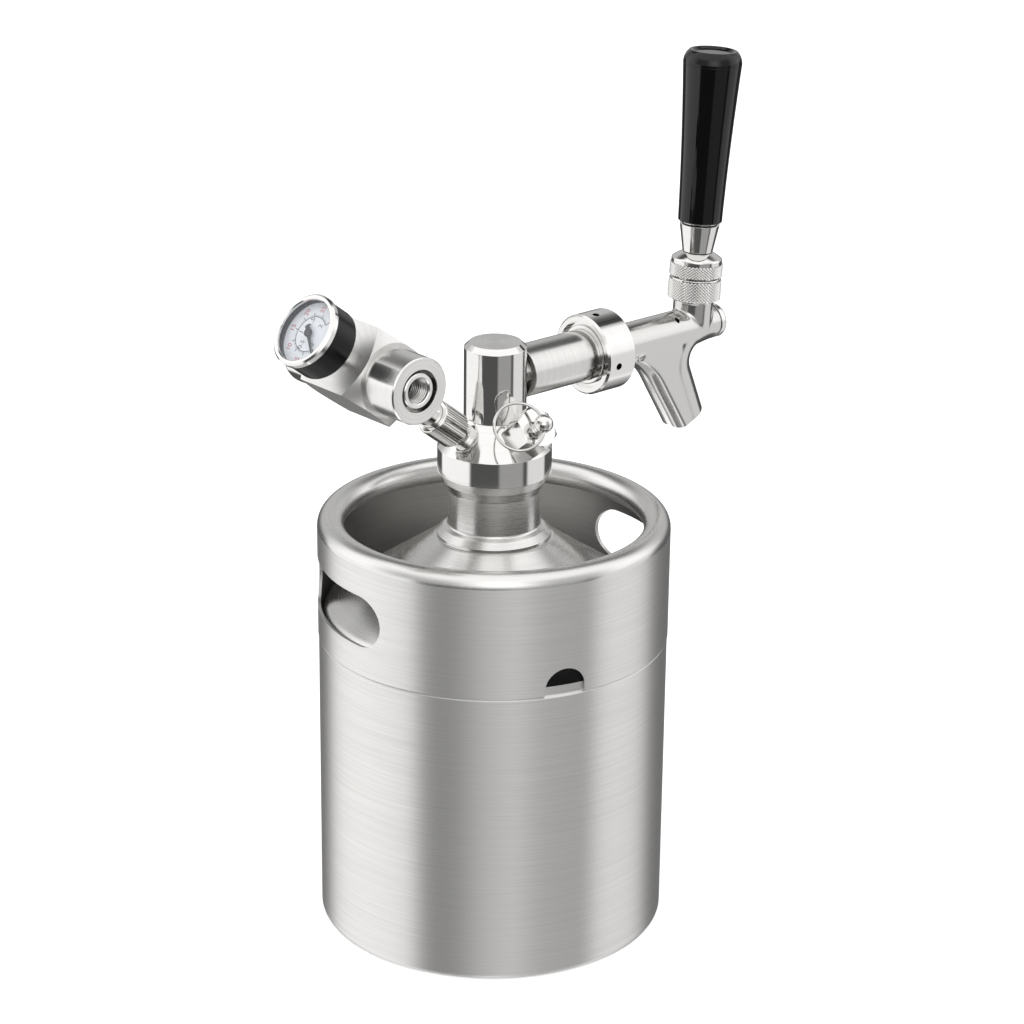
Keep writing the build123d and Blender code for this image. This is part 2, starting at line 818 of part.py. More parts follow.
with BuildPart() as plunger:
    groove_floor = plunger_radius - 2 * oring_wire
    plunger_outline = [
        (0, seal_back - retainer_thickness),
        (retainer_radius, seal_back - retainer_thickness),
        (retainer_radius, seal_back),
        (plunger_rod_radius, seal_back),
        (plunger_rod_radius, plunger_back),
        (plunger_radius, plunger_back),
        (plunger_radius, oring_x - oring_wire),
        (groove_floor, oring_x - oring_wire),
        (groove_floor, oring_x + oring_wire),
        (plunger_radius, oring_x + oring_wire),
        (plunger_radius, plunger_front),
        (0, plunger_front)]
    revolve(turned_section(plunger_outline, shank_station), axis=axis_of(shank_station))
    cross_hole = Plane(origin=(lever_x, 0, shank_height))
    hole_outline = [
        (0, -plunger_hole_depth),
        (plunger_hole_radius, -plunger_hole_depth),
        (plunger_hole_radius, plunger_radius - plunger_cone_depth),
        (plunger_hole_mouth, plunger_radius),
        (0, plunger_radius)]
    revolve(turned_section(hole_outline, cross_hole), axis=axis_of(cross_hole),
            mode=Mode.SUBTRACT)
write_piece(plunger.part, "plunger")

with BuildPart() as plunger_seal:
    revolve(ring_section(plunger_rod_radius, plunger_seal_radius, seal_back, seat_start,
                         shank_station), axis=axis_of(shank_station))
write_piece(plunger_seal.part, "plunger_seal")

with BuildPart(shank_station.offset(oring_x)) as plunger_oring:
    Torus(plunger_radius - oring_wire, oring_wire)
write_piece(plunger_oring.part, "plunger_oring")

# ------------------------------------------------------------------ lever joint

with BuildPart() as ball_cup:
    revolve(ring_section(passage_top_radius, seat_bore - running_gap, seat_floor, cup_top,
                         lever_station), axis=axis_of(lever_station))
    revolve(ball_section(ball_radius + ball_gap, pivot_station, lever_station),
            axis=axis_of(lever_station), mode=Mode.SUBTRACT)
write_piece(ball_cup.part, "ball_cup")

with BuildPart() as friction_ring:
    revolve(ring_section(boss_bore_radius, seat_bore - running_gap, friction_ring_start,
                         friction_ring_end, lever_station), axis=axis_of(lever_station))
    revolve(ball_section(ball_radius + ball_gap, pivot_station, lever_station),
            axis=axis_of(lever_station), mode=Mode.SUBTRACT)
write_piece(friction_ring.part, "friction_ring")

with BuildPart() as lock_ring:
    lock_outline = [
        (spigot_radius + running_gap, neck_top),
        (lock_ring_foot_radius, neck_top),
        (ring_radius, neck_top + lock_ring_foot_rise),
        (ring_radius, lock_ring_end - ring_chamfer),
        (ring_radius - ring_chamfer, lock_ring_end),
        (spigot_radius + running_gap, lock_ring_end)]
    revolve(turned_section(lock_outline, lever_station), axis=axis_of(lever_station))
write_piece(lock_ring.part, "lock_ring")


def on_ball(radius, offset_radius):
    """Point of a ball about the lever's pivot, in a half section's coordinates."""
    return (offset_radius, pivot_station + sqrt(radius ** 2 - offset_radius ** 2))


with BuildPart() as bonnet_cap:
    inner_dome = dome_radius - dome_wall
    with BuildSketch(section_plane(lever_station)):
        with BuildLine():
            Polyline(
                on_ball(inner_dome, dome_mouth_radius),
                (boss_bore_radius, friction_ring_end + running_gap),
                (boss_wall_radius, friction_ring_end + running_gap),
                (boss_wall_radius, spigot_top + running_gap),
                (spigot_radius + running_gap, spigot_top + running_gap),
                (spigot_radius + running_gap, cap_ring_start),
                (ring_radius - ring_chamfer, cap_ring_start),
                (ring_radius, cap_ring_start + ring_chamfer),
                on_ball(dome_radius, ring_radius))
            ThreePointArc(on_ball(dome_radius, ring_radius),
                          on_ball(dome_radius, ring_radius / 2),
                          on_ball(dome_radius, 0))
            Line(on_ball(dome_radius, 0), on_ball(inner_dome, 0))
            ThreePointArc(on_ball(inner_dome, 0),
                          on_ball(inner_dome, dome_mouth_radius / 2),
                          on_ball(inner_dome, dome_mouth_radius))
        make_face()
    revolve(axis=axis_of(lever_station))
    slot_reach = dome_radius * sin(lever_travel)
    with BuildSketch(lever_station.offset(cap_ring_end)):
        with Locations((0, -slot_reach / 2)):
            SlotCenterToCenter(slot_reach, 2 * (rod_radius + rod_slot_gap), rotation=90)
    extrude(amount=dome_radius, mode=Mode.SUBTRACT)
write_piece(bonnet_cap.part, "bonnet_cap")

with BuildPart() as lever:
    arm_outline = [
        (0, 0), (arm_radius, 0), (arm_radius, pivot_station), (0, pivot_station)]
    revolve(turned_section(arm_outline, lever_station), axis=axis_of(lever_station))
    revolve(ball_section(arm_tip_radius, 0, lever_station), axis=axis_of(lever_station))
    revolve(ball_section(ball_radius, pivot_station, lever_station),
            axis=axis_of(lever_station))
    skirt_ball = dome_radius + skirt_gap
    with BuildSketch(section_plane(lever_station)):
        with BuildLine():
            ThreePointArc(on_ball(skirt_ball, rod_radius),
                          on_ball(skirt_ball, (rod_radius + skirt_radius) / 2),
                          on_ball(skirt_ball, skirt_radius))
            Polyline(
                on_ball(skirt_ball, skirt_radius),
                (cone_top_radius, cone_top - cone_edge),
                (cone_top_radius - cone_edge, cone_top),
                (cone_shoulder_radius, cone_top),
                (cone_shoulder_radius, handle_start),
                (stud_radius, handle_start),
                (stud_radius, stud_end),
                (0, stud_end),
                (0, pivot_station),
                (rod_radius, pivot_station),
                on_ball(skirt_ball, rod_radius))
        make_face()
    revolve(axis=axis_of(lever_station))
write_piece(lever.part, "lever")

with BuildPart() as handle_insert:
    revolve(ring_section(stud_radius + running_gap, insert_radius - running_gap, handle_start,
                         handle_start + insert_length, lever_station),
            axis=axis_of(lever_station))
write_piece(handle_insert.part, "handle_insert")

with BuildPart() as handle:
    with BuildSketch(section_plane(lever_station)):
        with BuildLine():
            handle_middle = (handle_start + handle_end) / 2
            Spline((handle_foot_radius, handle_start + handle_edge),
                   (handle_mid_radius, handle_middle),
                   (handle_top_radius, handle_end))
            Polyline(
                (handle_top_radius, handle_end),
                (handle_joint_radius, handle_end),
                (handle_joint_radius, handle_end - handle_joint_length),
                (0, handle_end - handle_joint_length),
                (0, handle_start + insert_length),
                (insert_radius, handle_start + insert_length),
                (insert_radius, handle_start),
                (handle_foot_radius - handle_edge, handle_start),
                (handle_foot_radius, handle_start + handle_edge))
        make_face()
    revolve(axis=axis_of(lever_station))
write_piece(handle.part, "handle")

with BuildPart() as handle_cap:
    handle_tip = handle_end + handle_cap_height
    with BuildSketch(section_plane(lever_station)):
        with BuildLine():
            ThreePointArc((handle_top_radius, handle_end),
                          (handle_top_radius - handle_cap_shoulder_drop,
                           handle_end + handle_cap_shoulder_height),
                          (handle_cap_rim_radius, handle_tip))
            Polyline(
                (handle_cap_rim_radius, handle_tip),
                (handle_cap_rim_radius - handle_cap_rim_width, handle_tip),
                (handle_cap_rim_radius - 2 * handle_cap_rim_width, handle_tip - handle_cap_dish),
                (0, handle_tip - handle_cap_dish),
                (0, handle_end - handle_joint_length),
                (handle_joint_radius - running_gap, handle_end - handle_joint_length),
                (handle_joint_radius - running_gap, handle_end),
                (handle_top_radius, handle_end))
        make_face()
    revolve(axis=axis_of(lever_station))
write_piece(handle_cap.part, "handle_cap")

# ------------------------------------------------------------------ gas post and hand nut

post_foot = -port_depth + running_gap
stem_flange_start = post_end + running_gap
stem_flange_end = stem_flange_start + stem_flange_thickness
ball_centre = check_chamber_end - check_ball_gap - sqrt(check_ball_radius ** 2
                                                        - post_bore_radius ** 2)

with BuildPart() as gas_post:
    post_outline = [
        (post_bore_radius, post_foot),
        (port_hole_radius - running_gap, post_foot),
        (port_hole_radius - running_gap, -post_flange_seat),
        (post_flange_radius, -post_flange_seat),
        (post_flange_radius, post_flange_top),
        (post_neck_radius, post_flange_top),
        (post_neck_radius, post_neck_end),
        (post_thread_radius, post_neck_end),
        (post_thread_radius, post_end),
        (post_bore_radius, post_end),
        (post_bore_radius, check_chamber_end),
        (check_chamber_radius, check_chamber_end),
        (check_chamber_radius, check_chamber_start),
        (post_bore_radius, check_chamber_start)]
    revolve(turned_section(post_outline, gas_station), axis=axis_of(gas_station))
write_piece(gas_post.part, "gas_post")

with BuildPart() as gas_check_ball:
    revolve(ball_section(check_ball_radius, ball_centre, gas_station),
            axis=axis_of(gas_station))
write_piece(gas_check_ball.part, "gas_check_ball")

check_spring_radius = check_ball_radius - 2 * check_spring_wire
check_spring_end = (ball_centre + check_spring_wire - running_gap
                    - sqrt((check_ball_radius + check_spring_wire) ** 2
                           - check_spring_radius ** 2))
gas_check_spring = coil_spring(gas_station, check_spring_radius, check_spring_wire,
                               check_chamber_start, check_spring_end, check_spring_turns)
write_piece(gas_check_spring, "gas_check_spring")

with BuildPart() as gas_sleeve:
    sleeve_outline = [
        (post_thread_radius + thread_gap, sleeve_start),
        (sleeve_radius - sleeve_bevel, sleeve_start),
        (sleeve_radius, sleeve_start + sleeve_bevel),
        (sleeve_radius, sleeve_end - sleeve_bevel),
        (sleeve_radius - sleeve_bevel, sleeve_end),
        (stem_radius + thread_gap, sleeve_end),
        (stem_radius + thread_gap, stem_flange_end),
        (stem_flange_radius + thread_gap, stem_flange_end),
        (stem_flange_radius + thread_gap, post_end),
        (post_thread_radius + thread_gap, post_end)]
    revolve(turned_section(sleeve_outline, gas_station), axis=axis_of(gas_station))
write_piece(gas_sleeve.part, "gas_sleeve")

# ------------------------------------------------------------------ regulator

block_half = block_side / 2
block_near = regulator_station - block_half
block_far = regulator_station + block_half
block_end = block_length / 2

with BuildPart() as regulator_stem:
    stem_outline = [
        (stem_bore_radius, post_end - stem_nose_length),
        (stem_nose_radius, post_end - stem_nose_length),
        (stem_nose_radius, stem_flange_start),
        (stem_flange_radius, stem_flange_start),
        (stem_flange_radius, stem_flange_end),
        (stem_radius, stem_flange_end),
        (stem_radius, block_near),
        (stem_spigot_radius, block_near),
        (stem_spigot_radius, block_near + stem_spigot_length),
        (stem_bore_radius, block_near + stem_spigot_length)]
    revolve(turned_section(stem_outline, gas_station), axis=axis_of(gas_station))
write_piece(regulator_stem.part, "regulator_stem")

with BuildPart() as regulator_block:
    with BuildSketch(knob_station.offset(-block_end)):
        Rectangle(block_side, block_side)
    extrude(amount=block_length)
    corner_radius = block_half * sqrt(2) + running_gap
    corner_drop = (corner_radius - block_half) * tan(radians(block_chamfer_angle))
    lathe_outline = [
        (0, -block_end), (block_half, -block_end), (corner_radius, corner_drop - block_end),
        (corner_radius, block_end - corner_drop), (block_half, block_end), (0, block_end)]
    revolve(turned_section(lathe_outline, knob_station), axis=axis_of(knob_station),
            mode=Mode.INTERSECT)
    cavity_outline = [
        (0, -block_end),
        (inlet_socket_radius, -block_end),
        (inlet_socket_radius, inlet_socket_depth - block_end),
        (port_drill_radius, inlet_socket_depth - block_end),
        (port_drill_radius, -chamber_floor),
        (chamber_bore, -chamber_floor),
        (chamber_bore, block_end),
        (0, block_end)]
    revolve(turned_section(cavity_outline, knob_station), axis=axis_of(knob_station),
            mode=Mode.SUBTRACT)
    revolve(ring_section(0, stem_spigot_radius + running_gap, block_near, regulator_station,
                         gas_station), axis=axis_of(gas_station), mode=Mode.SUBTRACT)
    revolve(ring_section(0, gauge_spigot_radius + running_gap, regulator_station, block_far,
                         gas_station), axis=axis_of(gas_station), mode=Mode.SUBTRACT)
write_piece(regulator_block.part, "regulator_block")

socket_floor = block_end - inlet_socket_depth
inlet_face = block_end + inlet_length
insert_face = inlet_face - insert_setback
thread_floor = insert_face - cartridge_thread_length
relief_floor = thread_floor - cartridge_relief_length
pin_seat = relief_floor - pin_base_thickness

with BuildPart() as inlet_body:
    recess_end = inlet_face - inlet_recess_depth
    inlet_outline = [
        (port_drill_radius, socket_floor),
        (inlet_socket_radius - running_gap, socket_floor),
        (inlet_socket_radius - running_gap, block_end),
        (inlet_radius, block_end),
        (inlet_radius, inlet_face - inlet_edge),
        (inlet_radius - inlet_edge, inlet_face),
        (inlet_recess_radius, inlet_face),
        (inlet_recess_radius, recess_end),
        (insert_outer_radius + running_gap, recess_end),
        (insert_outer_radius + running_gap, insert_foot),
        (port_drill_radius, insert_foot)]
    revolve(turned_section(inlet_outline, inlet_station), axis=axis_of(inlet_station))
write_piece(inlet_body.part, "inlet_body")

with BuildPart() as inlet_insert:
    insert_outline = [
        (port_drill_radius, insert_foot),
        (insert_outer_radius, insert_foot),
        (insert_outer_radius, insert_face - cartridge_chamfer),
        (insert_outer_radius - cartridge_chamfer, insert_face),
        (cartridge_thread_radius + cartridge_chamfer, insert_face),
        (cartridge_thread_radius, insert_face - cartridge_chamfer),
        (cartridge_thread_radius, thread_floor),
        (cartridge_relief_radius, thread_floor),
        (cartridge_relief_radius, relief_floor),
        (pin_base_radius + running_gap, relief_floor),
        (pin_base_radius + running_gap, pin_seat),
        (port_drill_radius, pin_seat)]
    revolve(turned_section(insert_outline, inlet_station), axis=axis_of(inlet_station))
write_piece(inlet_insert.part, "inlet_insert")

with BuildPart() as piercing_pin:
    pin_outline = [
        (0, pin_seat),
        (pin_base_radius, pin_seat),
        (pin_base_radius, relief_floor),
        (pin_radius, relief_floor),
        (pin_radius, thread_floor - pin_point),
        (0, thread_floor)]
    revolve(turned_section(pin_outline, inlet_station), axis=axis_of(inlet_station))
write_piece(piercing_pin.part, "piercing_pin")

with BuildPart() as inlet_seal:
    revolve(ring_section(pin_radius + running_gap, cartridge_relief_radius - running_gap,
                         relief_floor, relief_floor + inlet_seal_thickness, inlet_station),
            axis=axis_of(inlet_station))
write_piece(inlet_seal.part, "inlet_seal")

piston_end = piston_start + piston_thickness

with BuildPart() as regulator_piston:
    piston_outline = [
        (0, piston_start - piston_stem_length),
        (piston_stem_radius, piston_start - piston_stem_length),
        (piston_stem_radius, piston_start),
        (chamber_bore - thread_gap, piston_start),
        (chamber_bore - thread_gap, piston_end),
        (0, piston_end)]
    revolve(turned_section(piston_outline, knob_station), axis=axis_of(knob_station))
write_piece(regulator_piston.part, "regulator_piston")

regulator_spring = coil_spring(knob_station, main_spring_radius, main_spring_wire,
                               piston_end, spring_seat_start, main_spring_turns)
write_piece(regulator_spring, "regulator_spring")

with BuildPart() as spring_seat:
    revolve(ring_section(screw_radius + thread_gap, spring_seat_radius, spring_seat_start,
                         spring_seat_start + spring_seat_thickness, knob_station),
            axis=axis_of(knob_station))
write_piece(spring_seat.part, "spring_seat")

with BuildPart() as regulator_bonnet:
    bonnet_end = block_end + bonnet_length
    bonnet_outline = [
        (bonnet_inner_radius, block_end - bonnet_socket_depth),
        (chamber_bore - running_gap, block_end - bonnet_socket_depth),
        (chamber_bore - running_gap, block_end),
        (bonnet_outer_radius, block_end),
        (bonnet_outer_radius, bonnet_end),
        (screw_radius + thread_gap, bonnet_end),
        (screw_radius + thread_gap, bonnet_end - bonnet_end_wall),
        (bonnet_inner_radius, bonnet_end - bonnet_end_wall)]
    revolve(turned_section(bonnet_outline, knob_station), axis=axis_of(knob_station))
write_piece(regulator_bonnet.part, "regulator_bonnet")

knob_start = block_end + slip_gap
knob_face = knob_start + knob_length
screw_end = knob_face - knob_wall

with BuildPart() as pressure_knob:
    knob_outline = [
        (bonnet_outer_radius + slip_gap, knob_start),
        (knob_radius, knob_start),
        (knob_radius, knob_face),
        (0, knob_face),
        (0, screw_end),
        (screw_radius, screw_end),
        (screw_radius, bonnet_end + slip_gap),
        (bonnet_outer_radius + slip_gap, bonnet_end + slip_gap)]
    revolve(turned_section(knob_outline, knob_station), axis=axis_of(knob_station))
    fillet(pressure_knob.edges().group_by(Axis.Y)[-1], knob_edge)
write_piece(pressure_knob.part, "pressure_knob")

with BuildPart() as adjusting_screw:
    revolve(ring_section(0, screw_radius, screw_inner_end, screw_end, knob_station),
            axis=axis_of(knob_station))
write_piece(adjusting_screw.part, "adjusting_screw")

# ------------------------------------------------------------------ gauge

gauge_back = block_far + gauge_stem_length
case_end = gauge_back + gauge_case_length
bezel_face = gauge_back + bezel_front
dial_face = bezel_face - dial_depth
needle_low = dial_face + needle_lift
glazing_radius = gauge_case_radius - gauge_wall - running_gap

with BuildPart() as gauge_stem:
    gauge_stem_outline = [
        (stem_bore_radius, block_far - gauge_spigot_length),
        (gauge_spigot_radius, block_far - gauge_spigot_length),
        (gauge_spigot_radius, block_far),
        (gauge_collar_radius, block_far),
        (gauge_collar_radius, block_far + gauge_collar_thickness),
        (gauge_stem_radius, block_far + gauge_collar_thickness),
        (gauge_stem_radius, gauge_back),
        (gauge_socket_radius - running_gap, gauge_back),
        (gauge_socket_radius - running_gap, gauge_back + gauge_back_wall),
        (stem_bore_radius, gauge_back + gauge_back_wall)]
    revolve(turned_section(gauge_stem_outline, gas_station), axis=axis_of(gas_station))
write_piece(gauge_stem.part, "gauge_stem")

with BuildPart() as gauge_case:
    case_outline = [
        (gauge_socket_radius, gauge_back),
        (gauge_case_radius, gauge_back),
        (gauge_case_radius, case_end),
        (gauge_case_radius - gauge_wall, case_end),
        (gauge_case_radius - gauge_wall, gauge_back + gauge_back_wall),
        (gauge_socket_radius, gauge_back + gauge_back_wall)]
    revolve(turned_section(case_outline, gas_station), axis=axis_of(gas_station))
    back_edge = gauge_case.edges().filter_by(GeomType.CIRCLE).filter_by(
        lambda edge: abs(edge.radius - gauge_case_radius) < running_gap)
    fillet(back_edge.sort_by(axis_of(gas_station))[0], gauge_back_radius)
write_piece(gauge_case.part, "gauge_case")

with BuildPart() as gauge_bezel:
    bezel_outline = [
        (gauge_case_radius + running_gap, bezel_face - bezel_depth),
        (bezel_radius, bezel_face - bezel_depth),
        (bezel_radius, bezel_face - bezel_lip),
        (bezel_radius - bezel_lip, bezel_face),
        (bezel_window + bezel_lip / 2, bezel_face),
        (bezel_window, bezel_face - bezel_lip / 2),
        (bezel_window, case_end),
        (gauge_case_radius + running_gap, case_end)]
    revolve(turned_section(bezel_outline, gas_station), axis=axis_of(gas_station))
write_piece(gauge_bezel.part, "gauge_bezel")

with BuildPart() as gauge_lens:
    revolve(ring_section(0, glazing_radius, case_end - lens_thickness, case_end, gas_station),
            axis=axis_of(gas_station))
write_piece(gauge_lens.part, "gauge_lens")

with BuildPart() as gauge_dial:
    revolve(ring_section(spindle_radius + thread_gap, glazing_radius,
                         dial_face - dial_thickness, dial_face, gas_station),
            axis=axis_of(gas_station))
write_piece(gauge_dial.part, "gauge_dial")

with BuildPart() as gauge_needle:
    needle_outline = [
        (0, dial_face - dial_thickness),
        (spindle_radius, dial_face - dial_thickness),
        (spindle_radius, needle_low),
        (needle_hub_radius, needle_low),
        (needle_hub_radius, needle_low + needle_hub_height),
        (0, needle_low + needle_hub_height)]
    revolve(turned_section(needle_outline, gas_station), axis=axis_of(gas_station))
    needle_turn = radians(90 + needle_rest_angle)
    pointer_plane = Plane(
        origin=gas_station.origin + gas_line * needle_low,
        x_dir=gas_station.x_dir * cos(needle_turn) + gas_station.y_dir * sin(needle_turn),
        z_dir=gas_line)
    with BuildSketch(pointer_plane):
        with BuildLine():
            Polyline((-needle_tail, -needle_tail_half_width),
                     (needle_length, -needle_tip_half_width),
                     (needle_length, needle_tip_half_width),
                     (-needle_tail, needle_tail_half_width),
                     close=True)
        make_face()
    extrude(amount=needle_thickness)
write_piece(gauge_needle.part, "gauge_needle")

# ------------------------------------------------------------------ relief valve

relief_lid = relief_hex_length - relief_lid_thickness
disc_top = relief_bore_start + relief_disc_thickness
relief_collar_top = disc_top + relief_collar_thickness
ring_knob = relief_station.origin + relief_line * relief_knob_station
ring_turn = radians(ring_hole_azimuth)
ring_hole_line = relief_station.x_dir * cos(ring_turn) + relief_station.y_dir * sin(ring_turn)
ring_level = relief_line.cross(ring_hole_line)
ring_reach = ring_level * cos(radians(ring_lean_angle)) - relief_line * sin(radians(ring_lean_angle))

with BuildPart() as valve_body:
    with BuildSketch(relief_station.offset(-relief_seat)):
        RegularPolygon(relief_hex_flats / 2, 6, major_radius=False, rotation=relief_hex_angle)
    extrude(amount=relief_hex_length + relief_seat)
    hex_corner = relief_hex_flats / sqrt(3) + running_gap
    hex_face_radius = relief_hex_flats / 2 - running_gap
    hex_drop = (hex_corner - hex_face_radius) * tan(radians(relief_bevel_angle))
    hex_outline = [
        (0, -relief_seat), (hex_corner, -relief_seat),
        (hex_corner, relief_hex_length - hex_drop), (hex_face_radius, relief_hex_length),
        (0, relief_hex_length)]
    revolve(turned_section(hex_outline, relief_station), axis=axis_of(relief_station),
            mode=Mode.INTERSECT)
    revolve(ring_section(0, port_hole_radius - running_gap, post_foot, 0, relief_station),
            axis=axis_of(relief_station))
    relief_bore_outline = [
        (0, post_foot),
        (relief_seat_radius, post_foot),
        (relief_seat_radius, relief_bore_start),
        (relief_bore_radius, relief_bore_start),
        (relief_bore_radius, relief_lid),
        (relief_stem_radius + thread_gap, relief_lid),
        (relief_stem_radius + thread_gap, relief_hex_length),
        (0, relief_hex_length)]
    revolve(turned_section(relief_bore_outline, relief_station), axis=axis_of(relief_station),
            mode=Mode.SUBTRACT)
write_piece(valve_body.part, "valve_body")

with BuildPart() as valve_disc:
    revolve(ring_section(0, relief_disc_radius, relief_bore_start, disc_top, relief_station),
            axis=axis_of(relief_station))
write_piece(valve_disc.part, "valve_disc")

with BuildPart() as valve_stem:
    stem_outline = [
        (0, disc_top),
        (relief_collar_radius, disc_top),
        (relief_collar_radius, relief_collar_top),
        (relief_stem_radius, relief_collar_top),
        (relief_stem_radius, relief_knob_station),
        (0, relief_knob_station)]
    revolve(turned_section(stem_outline, relief_station), axis=axis_of(relief_station))
    revolve(ball_section(relief_knob_radius, relief_knob_station, relief_station),
            axis=axis_of(relief_station))
    ring_hole = Plane(origin=ring_knob, x_dir=relief_line, z_dir=ring_hole_line)
    ring_hole_outline = [
        (0, -relief_knob_radius), (ring_hole_mouth, -relief_knob_radius), (ring_hole_radius, 0),
        (ring_hole_mouth, relief_knob_radius), (0, relief_knob_radius)]
    revolve(turned_section(ring_hole_outline, ring_hole), axis=axis_of(ring_hole),
            mode=Mode.SUBTRACT)
write_piece(valve_stem.part, "valve_stem")

valve_spring = coil_spring(relief_station, relief_spring_radius, relief_spring_wire,
                           relief_collar_top, relief_lid, relief_spring_turns)
write_piece(valve_spring, "valve_spring")

ring_plane = Plane(origin=ring_knob + ring_reach * ring_bend_radius, x_dir=ring_reach,
                   z_dir=ring_hole_line.cross(ring_reach))

with BuildPart(ring_plane) as pull_ring:
    Torus(ring_bend_radius, ring_wire)
write_piece(pull_ring.part, "pull_ring")
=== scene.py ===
import json
import math

import bmesh
import bpy
from bpy.props import FloatProperty, IntProperty, PointerProperty, StringProperty
from bpy.types import NodeSocket, Operator, Panel, PropertyGroup
from mathutils import Matrix, Vector


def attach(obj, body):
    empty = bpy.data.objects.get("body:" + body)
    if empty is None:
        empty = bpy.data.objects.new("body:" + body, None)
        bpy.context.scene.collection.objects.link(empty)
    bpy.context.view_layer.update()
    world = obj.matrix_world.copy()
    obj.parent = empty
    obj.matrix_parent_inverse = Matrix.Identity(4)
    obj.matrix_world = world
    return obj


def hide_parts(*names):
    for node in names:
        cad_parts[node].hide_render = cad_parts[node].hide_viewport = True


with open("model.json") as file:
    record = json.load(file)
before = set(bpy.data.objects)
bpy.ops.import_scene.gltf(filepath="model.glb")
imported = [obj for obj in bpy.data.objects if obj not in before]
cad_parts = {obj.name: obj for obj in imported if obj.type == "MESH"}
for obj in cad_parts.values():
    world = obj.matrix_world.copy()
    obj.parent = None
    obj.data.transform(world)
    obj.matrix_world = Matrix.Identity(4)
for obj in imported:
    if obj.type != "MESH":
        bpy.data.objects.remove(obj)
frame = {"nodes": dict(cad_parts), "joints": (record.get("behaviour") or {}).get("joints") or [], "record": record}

bl_info = {
    "name": "Mini Keg Dispenser Looks",
    "version": (1, 0, 0),
    "blender": (4, 5, 0),
    "location": "3D View > Sidebar > Keg",
    "description": "Steel finishes, knurling, threads, dial print and stage for the mini keg dispenser",
    "category": "Object",
}

MM = 0.001
MERGE = 2e-6                # joins the loose triangles' corners, metres
CORNER_TURN = math.radians(24)      # an outline that turns more than this at a point has a corner
STRAIGHT_TURN = math.radians(0.15)
CURVE_STEP = math.radians(5)

JOINTS = {joint["name"]: joint for joint in frame["joints"]}
BODY_OF = {node: body for body, nodes in frame["record"]["behaviour"]["bodies"].items()
           for node in nodes}
SLOT_OF = {part["node"]: part["material_slot"] for part in frame["record"]["subparts"]}


# ------------------------------------------------------------------ places

def place_on(point, axis, across):
    """Matrix of a place whose z runs along the axis and whose x points across it."""
    z = Vector(axis).normalized()
    x = Vector(across) - z * z.dot(Vector(across))
    x.normalize()
    place = Matrix((x, z.cross(x), z)).transposed().to_4x4()
    place.translation = Vector(point)
    return place


def joint_place(name, across=(0, 1, 0)):
    return place_on(JOINTS[name]["pos_m"], JOINTS[name]["axis"], across)


KEG = place_on((0, 0, 0), (0, 0, 1), (1, 0, 0))
TAP = joint_place("coupling_nut_turn")
LEVER = joint_place("lock_ring_turn")
GAS = joint_place("hand_nut_turn", (0, 0, 1))
REGULATOR = place_on(JOINTS["knob_turn"]["pos_m"], (0, 1, 0), (0, 0, 1))
RELIEF = place_on(JOINTS["ring_swing"]["pos_m"], JOINTS["relief_lift"]["axis"], (1, 0, 0))


def reach(node, place):
    """Lowest and highest distance of a node along a place's axis."""
    inverse = place.inverted()
    heights = [(inverse @ vertex.co).z for vertex in frame["nodes"][node].data.vertices]
    return min(heights), max(heights)


# ------------------------------------------------------------------ turned pieces

def merged(node):
    """A node's mesh with its loose triangles joined."""
    mesh = bmesh.new()
    mesh.from_mesh(frame["nodes"][node].data)
    bmesh.ops.remove_doubles(mesh, verts=mesh.verts, dist=MERGE)
    return mesh


def turn_between(first, second):
    """Signed angle from one direction to another."""
    return math.atan2(first.x * second.y - first.y * second.x, first.dot(second))


def chains_of(edges):
    """Joins edges end to end into runs of vertices, each with whether it closes."""
    beside = {}
    for edge in edges:
        start, end = edge.verts
        beside.setdefault(start, []).append(end)
        beside.setdefault(end, []).append(start)
    left = set(beside)
    runs = []
    for start in sorted(beside, key=lambda vertex: (len(beside[vertex]), vertex.index)):
        if start not in left:
            continue
        run = [start]
        left.discard(start)
        while True:
            following = [vertex for vertex in beside[run[-1]] if vertex in left]
            if not following:
                break
            run.append(following[0])
            left.discard(following[0])
        runs.append((run, len(run) > 2 and run[0] in beside[run[-1]]))
    return runs


def without_straights(points, closed):
    """An outline without the points that it runs straight through."""
    kept = []
    for index, point in enumerate(points):
        before = points[index - 1]
        after = points[(index + 1) % len(points)]
        at_end = not closed and index in (0, len(points) - 1)
        if at_end or abs(turn_between(point - before, after - point)) > STRAIGHT_TURN:
            kept.append(point)
    return kept


def half_outlines(node, place, azimuth):
    """A turned node's half section: runs of (radius, distance along the axis)."""
    mesh = merged(node)
    mesh.transform(place.inverted())
    turn = math.radians(azimuth)
    outwards = Vector((math.cos(turn), math.sin(turn), 0))
    sideways = Vector((-math.sin(turn), math.cos(turn), 0))
    bmesh.ops.bisect_plane(mesh, geom=mesh.verts[:] + mesh.edges[:] + mesh.faces[:],
                           plane_co=(0, 0, 0), plane_no=outwards)
    cut = bmesh.ops.bisect_plane(mesh, geom=mesh.verts[:] + mesh.edges[:] + mesh.faces[:],
                                 plane_co=(0, 0, 0), plane_no=sideways)
    mesh.verts.index_update()
    edges = [item for item in cut["geom_cut"] if isinstance(item, bmesh.types.BMEdge)
             and all(vertex.co.dot(outwards) > -MERGE for vertex in item.verts)]
    outlines = []
    for run, closed in chains_of(edges):
        points = [Vector((max(vertex.co.dot(outwards), 0), vertex.co.z)) for vertex in run]
        points = without_straights(points, closed)
        area = sum(a.x * b.y - b.x * a.y for a, b in zip(points, points[1:] + points[:1]))
        if area < 0:
            points.reverse()
        if len(points) > 1:
            outlines.append((points, closed))
    mesh.free()
    return outlines


def outward(direction):
    """The normal on the right of a direction."""
    return Vector((direction.y, -direction.x)).normalized()


